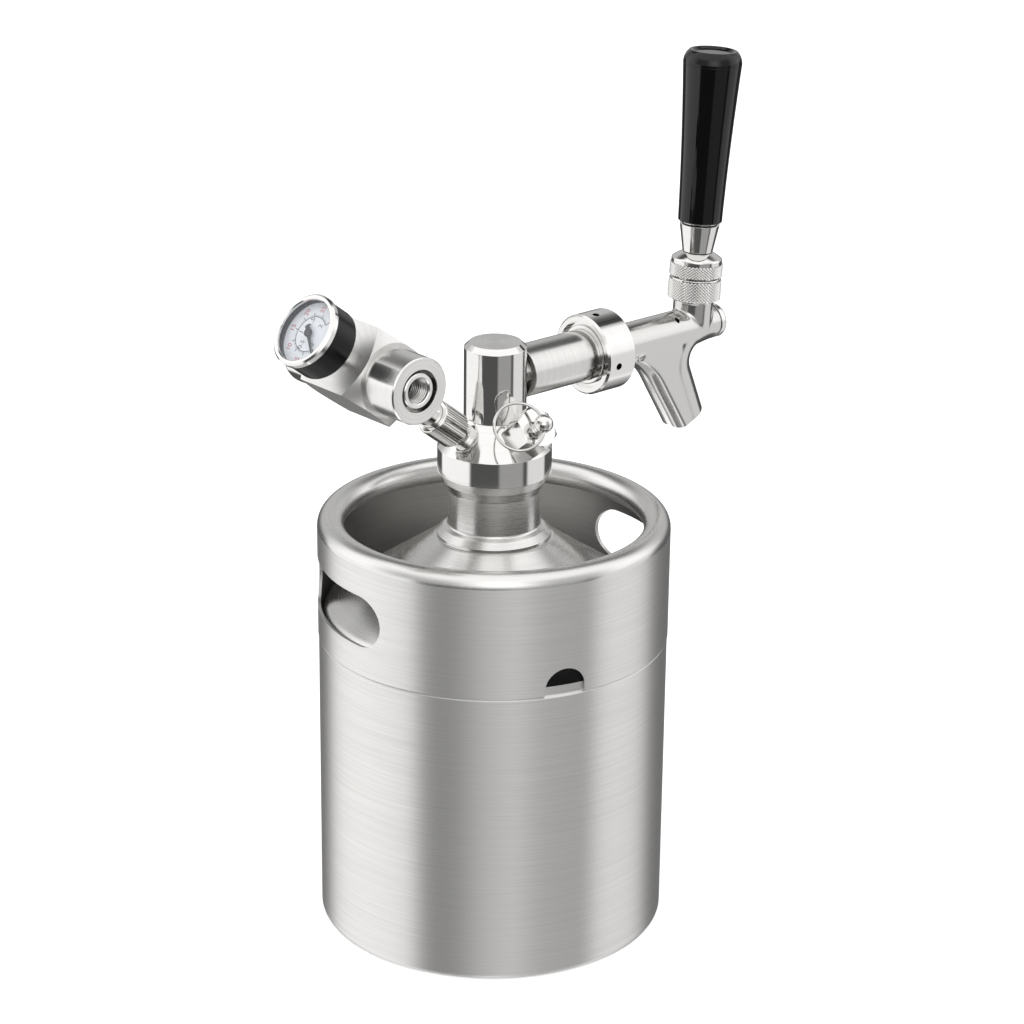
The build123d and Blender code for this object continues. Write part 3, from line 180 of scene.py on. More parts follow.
def eased(points, closed, edge):
    """Rounds an outline's corners and gives each of its points a normal."""
    made = []
    for index, point in enumerate(points):
        incoming = point - points[index - 1]
        outgoing = points[(index + 1) % len(points)] - point
        if not closed and index == 0:
            made.append((point, outward(outgoing)))
            continue
        if not closed and index == len(points) - 1:
            made.append((point, outward(incoming)))
            continue
        turn = turn_between(incoming, outgoing)
        if abs(turn) < CORNER_TURN:
            made.append((point, outward(incoming + outgoing)))
            continue
        half = math.tan(abs(turn) / 2)
        cut = min(edge * half, 0.45 * incoming.length, 0.45 * outgoing.length)
        radius = math.copysign(cut / half, turn)
        start = point - incoming.normalized() * cut
        normal = outward(incoming)
        centre = start - normal * radius
        steps = max(2, math.ceil(abs(turn) / math.radians(22)))
        for step in range(steps + 1):
            leaning = Matrix.Rotation(turn * step / steps, 2) @ normal
            made.append((centre + leaning * radius, leaning))
    return made


def on_curve(t, start, leaving, end, arriving):
    """The point at share t of a smooth curve between two points with their directions."""
    return ((2 * t ** 3 - 3 * t ** 2 + 1) * start + (t ** 3 - 2 * t ** 2 + t) * leaving
            + (3 * t ** 2 - 2 * t ** 3) * end + (t ** 3 - t ** 2) * arriving)


def smoothed(made, closed):
    """Adds points along the outline's curved stretches."""
    full = []
    ends = made[1:] + made[:1] if closed else made[1:]
    for (start, first), (end, last) in zip(made, ends):
        full.append((start, first))
        turn = turn_between(first, last)
        if CURVE_STEP < abs(turn) < CORNER_TURN * 1.5:
            pieces = math.ceil(abs(turn) / CURVE_STEP)
            length = (end - start).length
            leaving = Vector((-first.y, first.x)) * length
            arriving = Vector((-last.y, last.x)) * length
            for piece in range(1, pieces):
                t = piece / pieces
                full.append((on_curve(t, start, leaving, end, arriving),
                             Matrix.Rotation(turn * t, 2) @ first))
    if not closed:
        full.append(made[-1])
    return full


def lathe(name, outlines, place, steps):
    """Mesh turned from outlines of (point, normal), with the outlines' own normals."""
    corners, normals, faces = [], [], []
    rotation = place.to_3x3()
    for outline, closed in outlines:
        rows = []
        for point, normal in outline:
            on_axis = point.x < MERGE
            row = []
            for step in range(1 if on_axis else steps):
                turn = math.tau * step / steps
                row.append(len(corners))
                corners.append(place @ Vector((point.x * math.cos(turn),
                                               point.x * math.sin(turn), point.y)))
                normals.append(rotation @ Vector((normal.x * math.cos(turn),
                                                  normal.x * math.sin(turn), normal.y)))
            rows.append(row * steps if on_axis else row)
        pairs = list(zip(rows, rows[1:] + rows[:1] if closed else rows[1:]))
        for low, high in pairs:
            for step in range(steps):
                after = (step + 1) % steps
                ring = [low[step], low[after], high[after], high[step]]
                face = [corner for spot, corner in enumerate(ring) if corner != ring[spot - 1]]
                if len(set(face)) > 2:
                    faces.append(face)
    mesh = bpy.data.meshes.new(name)
    mesh.from_pydata(corners, [], faces)
    mesh.shade_smooth()
    mesh.normals_split_custom_set_from_vertices(normals)
    return mesh


def outer_radius(node, place, azimuth):
    """The widest point of a turned node's half section."""
    return max(point.x for points, _ in half_outlines(node, place, azimuth) for point in points)


# ------------------------------------------------------------------ putting pieces in

def put_in(name, data):
    """A new object in the scene."""
    made = bpy.data.objects.new(name, data)
    bpy.context.scene.collection.objects.link(made)
    return made


def add_piece(name, mesh, body, finish, stands_for=()):
    """Puts a finished mesh in as a piece that moves with its body."""
    piece = put_in(name, mesh)
    mesh.materials.clear()
    mesh.materials.append(bpy.data.materials[finish])
    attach(piece, body)
    if stands_for:
        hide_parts(*stands_for)
    return piece


def split_at(outline, height, closed):
    """Adds a point wherever an outline crosses a height."""
    full = []
    ends = outline[1:] + outline[:1] if closed else outline[1:]
    for (start, first), (end, last) in zip(outline, ends):
        full.append((start, first))
        if (start.y - height) * (end.y - height) < 0:
            share = (height - start.y) / (end.y - start.y)
            full.append((start.lerp(end, share), first.lerp(last, share).normalized()))
    if not closed:
        full.append(outline[-1])
    return full


def turn_piece(node, place, finish, edge=0.2, azimuth=23.0, steps=144, narrow=None, cuts=()):
    """Turns a node again, finely and with its edges broken, and lets it stand for the node."""
    outlines = []
    for points, closed in half_outlines(node, place, azimuth):
        if narrow is not None:
            points = [Vector((min(point.x, narrow * MM), point.y)) for point in points]
        outline = smoothed(eased(points, closed, edge * MM), closed)
        for height in cuts:
            outline = split_at(outline, height * MM, closed)
        outlines.append((outline, closed))
    mesh = lathe(node + "_turned", outlines, place, steps)
    return add_piece(node + "_turned", mesh, BODY_OF[node], finish, [node])


def finish_faces(piece, finish, chosen):
    """Gives the faces that pass a test of their middle and normal another finish."""
    piece.data.materials.append(bpy.data.materials[finish])
    for face in piece.data.polygons:
        if chosen(face.center, face.normal):
            face.material_index = len(piece.data.materials) - 1


def evaluated_mesh(carrier, name):
    """The mesh that an object's modifiers make, once and for all."""
    bpy.context.view_layer.update()
    evaluated = carrier.evaluated_get(bpy.context.evaluated_depsgraph_get())
    mesh = bpy.data.meshes.new_from_object(evaluated)
    mesh.name = name
    bpy.data.objects.remove(carrier)
    return mesh


def break_edges(node, finish, edge=0.2, sharp=38.0):
    """Copies a node with its sharp edges bevelled, and lets the copy stand for it."""
    source = merged(node)
    bmesh.ops.dissolve_limit(source, angle_limit=math.radians(0.4), verts=source.verts,
                             edges=source.edges)
    mesh = bpy.data.meshes.new(node + "_edged")
    source.to_mesh(mesh)
    source.free()
    carrier = put_in(node + "_carrier", mesh)
    bevel = carrier.modifiers.new("broken edges", "BEVEL")
    bevel.width = edge * MM
    bevel.segments = 3
    bevel.limit_method = "ANGLE"
    bevel.angle_limit = math.radians(sharp)
    bevel.use_clamp_overlap = True
    bevel.harden_normals = False
    weighted = carrier.modifiers.new("normals", "WEIGHTED_NORMAL")
    weighted.keep_sharp = True
    mesh.shade_smooth()
    mesh.set_sharp_from_angle(angle=math.radians(sharp))
    finished = evaluated_mesh(carrier, node + "_edged")
    return add_piece(node + "_edged", finished, BODY_OF[node], finish, [node])


def paint_nodes(finish, *nodes):
    """Gives nodes that stay as they are a better material."""
    for node in nodes:
        shown = frame["nodes"][node]
        shown.data.materials.clear()
        shown.data.materials.append(bpy.data.materials[finish])


# ------------------------------------------------------------------ material helpers

def linear(hex_colour):
    """An sRGB hex colour as linear red, green, blue and alpha."""
    channels = [int(hex_colour[start:start + 2], 16) / 255 for start in (0, 2, 4)]
    lit = [value / 12.92 if value <= 0.04045 else ((value + 0.055) / 1.055) ** 2.4
           for value in channels]
    return (*lit, 1.0)


def add_node(tree, kind, inputs=None, **settings):
    """Adds one node; an input is a value or another node's output."""
    made = tree.nodes.new(kind)
    for name, value in settings.items():
        setattr(made, name, value)
    for name, value in (inputs or {}).items():
        if isinstance(value, NodeSocket):
            tree.links.new(value, made.inputs[name])
        else:
            made.inputs[name].default_value = value
    return made


def mixed(tree, factor, first, second):
    """A colour between two others."""
    return add_node(tree, "ShaderNodeMix", {"Factor": factor, 6: first, 7: second},
                    data_type="RGBA").outputs[2]


def new_material(name):
    """An empty node material with its output, and the output's tree."""
    material = bpy.data.materials.new(name)
    material.use_nodes = True
    tree = material.node_tree
    tree.nodes.clear()
    return tree, add_node(tree, "ShaderNodeOutputMaterial")


def turning_lines(tree, place, length_mm, spacing_mm):
    """Direction round a turned piece, and a noise drawn out along its tool or brush marks."""
    axis = place.to_3x3() @ Vector((0, 0, 1))
    position = add_node(tree, "ShaderNodeTexCoord").outputs["Object"]
    arm = add_node(tree, "ShaderNodeVectorMath", {0: position, 1: place.translation},
                   operation="SUBTRACT").outputs["Vector"]
    round_it = add_node(tree, "ShaderNodeVectorMath", {0: axis, 1: arm},
                        operation="CROSS_PRODUCT").outputs["Vector"]
    tangent = add_node(tree, "ShaderNodeVectorMath", {0: round_it},
                       operation="NORMALIZE").outputs["Vector"]
    radius = add_node(tree, "ShaderNodeVectorMath", {0: round_it},
                      operation="LENGTH").outputs["Value"]
    along = add_node(tree, "ShaderNodeVectorMath", {0: arm, 1: axis},
                     operation="DOT_PRODUCT").outputs["Value"]
    # Marks lie across the axis on a wall and in rings on a face, so both distances count.
    across_marks = add_node(tree, "ShaderNodeMath", {0: radius, 1: -0.7, 2: along},
                            operation="MULTIPLY_ADD").outputs["Value"]
    drawn = add_node(tree, "ShaderNodeVectorMath", {0: arm, "Scale": 1 / (length_mm * MM)},
                     operation="SCALE").outputs["Vector"]
    step = add_node(tree, "ShaderNodeMath", {0: across_marks, 1: 1 / (spacing_mm * MM)},
                    operation="MULTIPLY").outputs["Value"]
    stepped = add_node(tree, "ShaderNodeVectorMath", {0: axis, "Scale": step},
                       operation="SCALE").outputs["Vector"]
    place_in_noise = add_node(tree, "ShaderNodeVectorMath", {0: drawn, 1: stepped},
                              operation="ADD").outputs["Vector"]
    marks = add_node(tree, "ShaderNodeTexNoise",
                     {"Vector": place_in_noise, "Scale": 1.0, "Detail": 3.0,
                      "Roughness": 0.6}).outputs["Fac"]
    return tangent, marks


def turned_metal(name, place, colour, dark_colour, roughness, spread, anisotropy, length_mm,
                 spacing_mm, bump):
    """Steel with marks round an axis, which draw its highlights out across them."""
    tree, output = new_material(name)
    tangent, marks = turning_lines(tree, place, length_mm, spacing_mm)
    contrast = add_node(tree, "ShaderNodeMapRange",
                        {"Value": marks, "From Min": 0.3, "From Max": 0.7}).outputs["Result"]
    tint = mixed(tree, contrast, linear(dark_colour), linear(colour))
    rough = add_node(tree, "ShaderNodeMapRange",
                     {"Value": contrast, "To Min": roughness + spread,
                      "To Max": roughness - spread}).outputs["Result"]
    relief = add_node(tree, "ShaderNodeBump", {"Height": marks, "Strength": bump,
                                               "Distance": 0.05 * MM}).outputs["Normal"]
    steel = add_node(tree, "ShaderNodeBsdfPrincipled",
                     {"Base Color": tint, "Metallic": 1.0, "Roughness": rough,
                      "Anisotropic": anisotropy, "Anisotropic Rotation": 0.25,
                      "Tangent": tangent, "Normal": relief})
    tree.links.new(steel.outputs["BSDF"], output.inputs["Surface"])


def plain_surface(name, colour, dark_colour, grain_mm, bump, **settings):
    """A surface with no direction, whose colour and height vary with a fine grain."""
    tree, output = new_material(name)
    position = add_node(tree, "ShaderNodeTexCoord").outputs["Object"]
    grain = add_node(tree, "ShaderNodeTexNoise",
                     {"Vector": position, "Scale": 1 / (grain_mm * MM), "Detail": 3.0}
                     ).outputs["Fac"]
    tint = mixed(tree, grain, linear(dark_colour), linear(colour))
    relief = add_node(tree, "ShaderNodeBump", {"Height": grain, "Strength": bump,
                                               "Distance": 0.02 * MM}).outputs["Normal"]
    surface = add_node(tree, "ShaderNodeBsdfPrincipled",
                       {"Base Color": tint, "Normal": relief, **settings})
    tree.links.new(surface.outputs["BSDF"], output.inputs["Surface"])


# ------------------------------------------------------------------ settings

class KegFinishSettings(PropertyGroup):
    """Colours and marks of the finishes."""
    steel: StringProperty(name="Stainless", description="Colour of the bright stainless steel",
                          default="E4E3E1")
    steel_marks: StringProperty(name="Stainless marks", default="D6D5D3",
                                description="Colour of the steel in its brush and tool marks")
    brush_spacing: FloatProperty(name="Brush spacing", default=0.4, min=0.05,
                                 description="Distance between brush marks, millimetres")
    black: StringProperty(name="Black", description="Colour of the handle and the gauge case",
                          default="060606")
    dial: StringProperty(name="Dial", description="Colour of the dial's white print",
                         default="F3F6FB")
    scale_red: StringProperty(name="Outer figures", description="Colour of the outer scale",
                              default="C83C50")


class KegKnurlSettings(PropertyGroup):
    """Knurling, thread and dial sizes."""
    diamond_pitch: FloatProperty(name="Diamond pitch", default=1.75 * MM, unit="LENGTH",
                                 precision=4, description="Distance between knurl diamonds")
    diamond_depth: FloatProperty(name="Diamond depth", default=0.5 * MM, unit="LENGTH",
                                 precision=5, description="Height of a knurl diamond")
    ridge_count: IntProperty(name="Ridges", default=46, min=12,
                             description="Ridges round the hand nut")
    ridge_depth: FloatProperty(name="Ridge depth", default=0.45 * MM, unit="LENGTH",
                               precision=5, description="Height of a hand nut's ridge")
    thread_pitch: FloatProperty(name="Thread pitch", default=1.25 * MM, unit="LENGTH",
                                precision=5, description="Pitch of the cartridge thread")
    thread_depth: FloatProperty(name="Thread depth", default=0.5 * MM, unit="LENGTH",
                                precision=5, description="Depth of the cartridge thread")


class KegFaucetSettings(PropertyGroup):
    """How finely the faucet is cast and how softly its tubes meet."""
    grain: FloatProperty(name="Grain", default=0.42 * MM, unit="LENGTH", precision=5,
                         description="Size of the casting's cells before it is smoothed")
    blend: IntProperty(name="Blend", default=40, min=0,
                       description="Smoothing passes where the tubes meet")


class KegStageSettings(PropertyGroup):
    """Camera and studio."""
    azimuth: FloatProperty(name="Azimuth", default=math.radians(-41.5), subtype="ANGLE",
                           description="Direction that the photograph was taken from")
    distance: FloatProperty(name="Ground distance", default=1.404013, unit="LENGTH",
                            description="Distance from the keg's axis along the ground")
    side_step: FloatProperty(name="Side step", default=0.010781, unit="LENGTH",
                             precision=5, description="Camera's distance to the right of the axis")
    height: FloatProperty(name="Height", default=0.74772, unit="LENGTH",
                          description="Camera's height above the floor")
    pitch: FloatProperty(name="Pitch", default=math.radians(21.0007), subtype="ANGLE",
                         description="Camera's tilt below the horizon")
    pan: FloatProperty(name="Pan", default=math.radians(0.0871), subtype="ANGLE",
                       description="Camera's turn to the left")
    roll: FloatProperty(name="Roll", default=math.radians(0.6353), subtype="ANGLE",
                        description="Camera's roll")
    lens: FloatProperty(name="Lens", default=109.69, min=10,
                        description="Focal length on a 36 mm sensor, millimetres")


# ------------------------------------------------------------------ finishes

class KEG_OT_finishes(Operator):
    """Make the materials"""
    bl_idname = "keg.finishes"
    bl_label = "Finishes"

    def execute(self, context):
        look = context.scene.keg_finish
        # Type 304 sheet, brushed round the keg: long fine lines and highlights drawn upright.
        turned_metal("stainless_sheet_brushed", KEG, look.steel, look.steel_marks, 0.40, 0.03,
                     0.8, 55.0, look.brush_spacing, 0.10)
        # Its inside, with a plainer mill brushing and a colour painted darker as shade, and the gutter's shell,
        # painted dark as its shade.
        turned_metal("stainless_inside_painted_shade", KEG, "A3A2A0", "999896", 0.34, 0.02, 0.7, 50.0,
                     0.5, 0.02)
        plain_surface("stainless_gutter_painted_shade", "2C2C2C", "1C1C1C", 0.5, 0.1,
                      Metallic=1.0, Roughness=0.45)
        # Type 304 pressing of the rim and dome, brushed more softly.
        turned_metal("stainless_dome_brushed", KEG, look.steel, look.steel_marks, 0.27, 0.01,
                     0.7, 60.0, 0.35, 0.008)
        # Bar stock turned and then buffed: a mirror with faint rings.
        for axis_name, place in (("keg", KEG), ("tap", TAP), ("lever", LEVER), ("gas", GAS),
                                 ("regulator", REGULATOR), ("relief", RELIEF)):
            turned_metal("stainless_buffed_" + axis_name, place, look.steel, "DDDCDA", 0.085,
                         0.02, 0.35, 30.0, 0.25, 0.02)
        # Faces left with the lathe's finishing cut: rings that open into a fan of light.
        turned_metal("stainless_faced_column", KEG, look.steel, look.steel_marks, 0.2, 0.04,
                     0.8, 8.0, 0.22, 0.2)
        turned_metal("stainless_faced_inlet", REGULATOR, "EFEEEC", "E0DFDD", 0.26, 0.03,
                     0.6, 8.0, 0.3, 0.15)
        # The regulator's block, milled and brushed round its gas axis.
        turned_metal("stainless_milled_block", GAS, "E4E3E1", "D6D5D3", 0.34, 0.03, 0.3, 20.0,
                     0.3, 0.03)
        # The inlet's ring, turned and brushed.
        turned_metal("stainless_turned_inlet", REGULATOR, look.steel, "D8D7D5", 0.2, 0.02, 0.5,
                     30.0, 0.3, 0.03)
        # The shank's tube, ground and lightly buffed.
        turned_metal("stainless_ground_shank", TAP, "DAD9D7", "D0CFCD", 0.2, 0.02, 0.3, 30.0,
                     0.3, 0.03)
        # A drilled hole's wall, left rough, its colour painted dark as the shade in the hole.
        plain_surface("stainless_hole_painted_shade", "3A3A3A", "1E1E1E", 0.3, 0.1,
                      Metallic=1.0, Roughness=0.5)
        # Investment casting, tumbled to a satin.
        plain_surface("stainless_cast_satin", "D6D5D3", "CAC9C7", 0.35, 0.04,
                      Metallic=1.0, Roughness=0.17)
        # Pressed knurls, bright on their points.
        plain_surface("stainless_knurled", "DCDBD9", "C2C1BF", 0.4, 0.05,
                      Metallic=1.0, Roughness=0.14)
        # Compression-moulded phenolic, polished: deep black under a clear skin.
        plain_surface("phenolic_moulded_black", look.black, "040404", 2.0, 0.01,
                      **{"Roughness": 0.05, "IOR": 1.5, "Specular IOR Level": 0.4})
        # Stoved enamel on a steel case.
        plain_surface("enamel_stoved_black", "0C0C0D", look.black, 0.6, 0.04,
                      **{"Roughness": 0.22, "IOR": 1.45, "Specular IOR Level": 0.3})
        # Offset print on enamelled sheet.
        plain_surface("dial_enamel_white", look.dial, "EAEEF4", 0.8, 0.02,
                      Roughness=0.45, IOR=1.5)
        plain_surface("dial_ink_black", "0E0E12", "08080B", 0.3, 0.0, Roughness=0.5)
        plain_surface("dial_ink_red", look.scale_red, "B93246", 0.3, 0.0, Roughness=0.5)
        # Acetal, nitrile rubber, brass bar and drawn spring wire inside the valves.
        plain_surface("nylon_moulded_white", "E8E7E2", "DAD9D4", 0.5, 0.05,
                      Roughness=0.4, IOR=1.53)
        plain_surface("nitrile_moulded_black", "17171A", "101012", 0.3, 0.15,
                      Roughness=0.55, IOR=1.52)
        plain_surface("brass_turned", "D9B872", "C4A05A", 0.3, 0.06,
                      Metallic=1.0, Roughness=0.24)
        plain_surface("spring_wire_drawn", "C2C1BF", "A9A8A6", 0.2, 0.06,
                      Metallic=1.0, Roughness=0.28)
        self.make_lens()
        return {"FINISHED"}

    def make_lens(self):
        """Acrylic window: nearly all of it lets light straight through."""
        tree, output = new_material("acrylic_window_clear")
        clear = add_node(tree, "ShaderNodeBsdfPrincipled",
                         {"Base Color": linear("F4F8FF"), "Roughness": 0.03, "IOR": 1.49,
                          "Alpha": 0.07})
        tree.links.new(clear.outputs["BSDF"], output.inputs["Surface"])


# ------------------------------------------------------------------ node trees for repeats

def new_tree(name, sizes, counts):
    """An empty geometry tree with named inputs, and its group nodes."""
    tree = bpy.data.node_groups.new(name, "GeometryNodeTree")
    tree.interface.new_socket("Geometry", in_out="INPUT", socket_type="NodeSocketGeometry")
    tree.interface.new_socket("Geometry", in_out="OUTPUT", socket_type="NodeSocketGeometry")
    for title in sizes:
        tree.interface.new_socket(title, in_out="INPUT", socket_type="NodeSocketFloat")
    for title in counts:
        tree.interface.new_socket(title, in_out="INPUT", socket_type="NodeSocketInt")
    tree.interface.new_socket("Material", in_out="INPUT", socket_type="NodeSocketMaterial")
    return tree, add_node(tree, "NodeGroupInput").outputs, add_node(tree, "NodeGroupOutput")


def close_tree(tree, geometry, given, output):
    """Ends a tree in real geometry with its material on."""
    real = add_node(tree, "GeometryNodeRealizeInstances", {"Geometry": geometry})
    dressed = add_node(tree, "GeometryNodeSetMaterial",
                       {"Geometry": real.outputs[0], "Material": given["Material"]})
    tree.links.new(dressed.outputs[0], output.inputs["Geometry"])
    return tree


def number(tree, operation, first, second=0.0, third=0.0):
    """A value worked out from others."""
    return add_node(tree, "ShaderNodeMath", {0: first, 1: second, 2: third},
                    operation=operation).outputs["Value"]


def diamond_tree():
    """Knurl: rows of four-sided points round a band, each row half a pitch on from the last."""
    tree, given, output = new_tree(
        "diamond knurl", ("Radius", "Start", "Length", "Depth"), ("Around", "Rows"))
    columns = number(tree, "MULTIPLY", given["Around"], 2.0)
    rows = number(tree, "ADD", given["Rows"], 1.0)
    grid = add_node(tree, "GeometryNodeMeshGrid",
                    {"Size X": math.tau, "Size Y": given["Length"],
                     "Vertices X": number(tree, "ADD", columns, 1.0), "Vertices Y": rows})
    flat = add_node(tree, "ShaderNodeSeparateXYZ",
                    {0: add_node(tree, "GeometryNodeInputPosition").outputs[0]}).outputs
    row_step = number(tree, "DIVIDE", given["Length"], given["Rows"])
    column = number(tree, "ROUND", number(tree, "DIVIDE", number(
        tree, "MULTIPLY", number(tree, "ADD", flat["X"], math.pi), columns), math.tau))
    row = number(tree, "ROUND", number(tree, "DIVIDE", number(
        tree, "ADD", flat["Y"], number(tree, "DIVIDE", given["Length"], 2.0)), row_step))
    odd = number(tree, "MODULO", number(tree, "ADD", column, row), 2.0)
    unseamed = number(tree, "LESS_THAN", column, number(tree, "SUBTRACT", columns, 0.5))
    chosen = number(tree, "MULTIPLY", odd, unseamed)
    cosine = number(tree, "COSINE", flat["X"])
    sine = number(tree, "SINE", flat["X"])
    outwards = add_node(tree, "ShaderNodeCombineXYZ", {"X": cosine, "Y": sine}).outputs[0]
    height = number(tree, "ADD", given["Start"], number(tree, "MULTIPLY", row, row_step))
    spot = add_node(tree, "ShaderNodeCombineXYZ",
                    {"X": number(tree, "MULTIPLY", cosine, given["Radius"]),
                     "Y": number(tree, "MULTIPLY", sine, given["Radius"]), "Z": height})
    kept = add_node(tree, "GeometryNodeCaptureAttribute", {"Geometry": grid.outputs["Mesh"]})
    kept.capture_items.new("VECTOR", "Outwards")
    kept.capture_items.new("FLOAT", "Chosen")
    tree.links.new(outwards, kept.inputs["Outwards"])
    tree.links.new(chosen, kept.inputs["Chosen"])
    band = add_node(tree, "GeometryNodeSetPosition", {"Geometry": kept.outputs["Geometry"],
                                                      "Position": spot.outputs[0]})
    stud = add_node(tree, "GeometryNodeMeshCone",
                    {"Vertices": 4, "Radius Top": 0.0, "Radius Bottom": 1.0, "Depth": 1.0},
                    fill_type="NONE")
    width = number(tree, "DIVIDE", number(tree, "MULTIPLY", given["Radius"], math.tau), columns)
    size = add_node(tree, "ShaderNodeCombineXYZ",
                    {"X": row_step, "Y": width, "Z": given["Depth"]})
    facing = add_node(tree, "FunctionNodeAxesToRotation",
                      {"Primary Axis": kept.outputs["Outwards"], "Secondary Axis": (0, 0, 1)},
                      primary_axis="Z", secondary_axis="X")
    studs = add_node(tree, "GeometryNodeInstanceOnPoints",
                     {"Points": band.outputs[0], "Selection": kept.outputs["Chosen"],
                      "Instance": stud.outputs["Mesh"], "Rotation": facing.outputs[0],
                      "Scale": size.outputs[0]})
    return close_tree(tree, studs.outputs[0], given, output)


def ridge_tree():
    """Straight knurl: three-sided ridges side by side round a band."""
    tree, given, output = new_tree(
        "straight knurl", ("Radius", "Start", "Length", "Depth"), ("Around",))
    circle = add_node(tree, "GeometryNodeMeshCircle",
                      {"Vertices": given["Around"], "Radius": given["Radius"]})
    place = add_node(tree, "GeometryNodeInputPosition").outputs[0]
    kept = add_node(tree, "GeometryNodeCaptureAttribute", {"Geometry": circle.outputs[0]})
    kept.capture_items.new("VECTOR", "Outwards")
    tree.links.new(place, kept.inputs["Outwards"])
    middle = number(tree, "ADD", given["Start"], number(tree, "DIVIDE", given["Length"], 2.0))
    lifted = add_node(tree, "GeometryNodeSetPosition",
                      {"Geometry": kept.outputs["Geometry"],
                       "Offset": add_node(tree, "ShaderNodeCombineXYZ",
                                          {"Z": middle}).outputs[0]})
    ridge = add_node(tree, "GeometryNodeMeshCylinder",
                     {"Vertices": 3, "Radius": given["Depth"], "Depth": given["Length"]})
    facing = add_node(tree, "FunctionNodeAxesToRotation",
                      {"Primary Axis": (0, 0, 1), "Secondary Axis": kept.outputs["Outwards"]},
                      primary_axis="Z", secondary_axis="X")
    ridges = add_node(tree, "GeometryNodeInstanceOnPoints",
                      {"Points": lifted.outputs[0], "Instance": ridge.outputs["Mesh"],
                       "Rotation": facing.outputs[0]})
    return close_tree(tree, ridges.outputs[0], given, output)


def thread_tree():
    """Inner thread: one three-sided ridge wound down a bore."""
    tree, given, output = new_tree(
        "inner thread", ("Radius", "Start", "Length", "Depth", "Turns"), ("Sides",))
    coil = add_node(tree, "GeometryNodeCurveSpiral",
                    {"Resolution": given["Sides"], "Rotations": given["Turns"],
                     "Start Radius": given["Radius"], "End Radius": given["Radius"],
                     "Height": given["Length"]})
    lifted = add_node(tree, "GeometryNodeSetPosition",
                      {"Geometry": coil.outputs[0],
                       "Offset": add_node(tree, "ShaderNodeCombineXYZ",
                                          {"Z": given["Start"]}).outputs[0]})
    section = add_node(tree, "GeometryNodeCurvePrimitiveCircle",
                       {"Resolution": 3, "Radius": given["Depth"]})
    ridge = add_node(tree, "GeometryNodeCurveToMesh",
                     {"Curve": lifted.outputs[0], "Profile Curve": section.outputs[0],
                      "Fill Caps": True})
    return close_tree(tree, ridge.outputs[0], given, output)


def tick_tree():
    """Scale: marks spread evenly along an arc, each pointing away from the middle."""
    tree, given, output = new_tree(
        "dial scale", ("Radius", "First", "Sweep", "Length", "Width", "Height"), ("Marks",))
    line = add_node(tree, "GeometryNodeMeshLine", {"Count": given["Marks"]})
    share = number(tree, "DIVIDE", add_node(tree, "GeometryNodeInputIndex").outputs[0],
                   number(tree, "SUBTRACT", given["Marks"], 1.0))
    angle = number(tree, "SUBTRACT", given["First"],
                   number(tree, "MULTIPLY", share, given["Sweep"]))
    middle = number(tree, "ADD", given["Radius"], number(tree, "DIVIDE", given["Length"], 2.0))
    spot = add_node(tree, "ShaderNodeCombineXYZ",
                    {"X": number(tree, "MULTIPLY", number(tree, "COSINE", angle), middle),
                     "Y": number(tree, "MULTIPLY", number(tree, "SINE", angle), middle),
                     "Z": given["Height"]})
    kept = add_node(tree, "GeometryNodeCaptureAttribute", {"Geometry": line.outputs[0]})
    kept.capture_items.new("FLOAT", "Angle")
    tree.links.new(angle, kept.inputs["Angle"])
    spread = add_node(tree, "GeometryNodeSetPosition", {"Geometry": kept.outputs["Geometry"],
                                                        "Position": spot.outputs[0]})
    mark = add_node(tree, "GeometryNodeMeshCube",
                    {"Size": add_node(tree, "ShaderNodeCombineXYZ",
                                      {"X": given["Length"], "Y": given["Width"],
                                       "Z": 0.02 * MM}).outputs[0]})
    turned = add_node(tree, "ShaderNodeCombineXYZ", {"Z": kept.outputs["Angle"]})
    facing = add_node(tree, "FunctionNodeEulerToRotation", {0: turned.outputs[0]})
    marks = add_node(tree, "GeometryNodeInstanceOnPoints",
                     {"Points": spread.outputs[0], "Instance": mark.outputs["Mesh"],
                      "Rotation": facing.outputs[0]})
    return close_tree(tree, marks.outputs[0], given, output)


def grow(name, tree, place, body, finish, slot, **inputs):
    """Runs a tree with its named inputs and puts its mesh in at a place."""
    carrier = put_in(name + "_carrier", bpy.data.meshes.new(name + "_seed"))
    modifier = carrier.modifiers.new(tree.name, "NODES")
    modifier.node_group = tree
    inputs["Material"] = bpy.data.materials[finish]
    for item in tree.interface.items_tree:
        if item.in_out == "INPUT" and item.name in inputs:
            modifier[item.identifier] = inputs[item.name]
    mesh = evaluated_mesh(carrier, name)
    mesh.transform(place)
    return add_piece(name, mesh, body, finish)


# ------------------------------------------------------------------ the faucet's casting

# Sizes in millimetres; places along the shank from the keg's axis and above the shank's axis.
SPOUT_TIP = (126.5, -45.2)
SPOUT_LEAN = math.radians(27.4)
ELBOW_LEAN = math.radians(22.0)
ELBOW_BEND, ELBOW_RADIUS, ELBOW_STEP = 15.5, 9.4, 2.3
NECK_X = 129.75
SPOUT_FRONT_RADIUS = 9.1
GROOVE_HALF_WIDTH = 3.4
SPOUT_SLICES, GROOVE_SLICES = 55, 48        # one each millimetre, from the first station up
VENT_X, VENT_Y, VENT_RADIUS = 113.6, -6.1, 1.2
BONNET_RING = 8.3           # height of the bonnet's knurled ring
# Distance up the spout, reach of its flat, middle of its round front and groove's depth
SPOUT_STATIONS = ((-2.0, 10.8, -1.2, 1.6), (0.0, 10.8, -1.2, 1.6), (21.6, 12.2, 0.8, 1.6),
                  (36.0, 13.4, 4.8, 0.8), (45.0, 16.2, 4.8, -0.8), (52.0, 20.4, 3.0, -1.6))


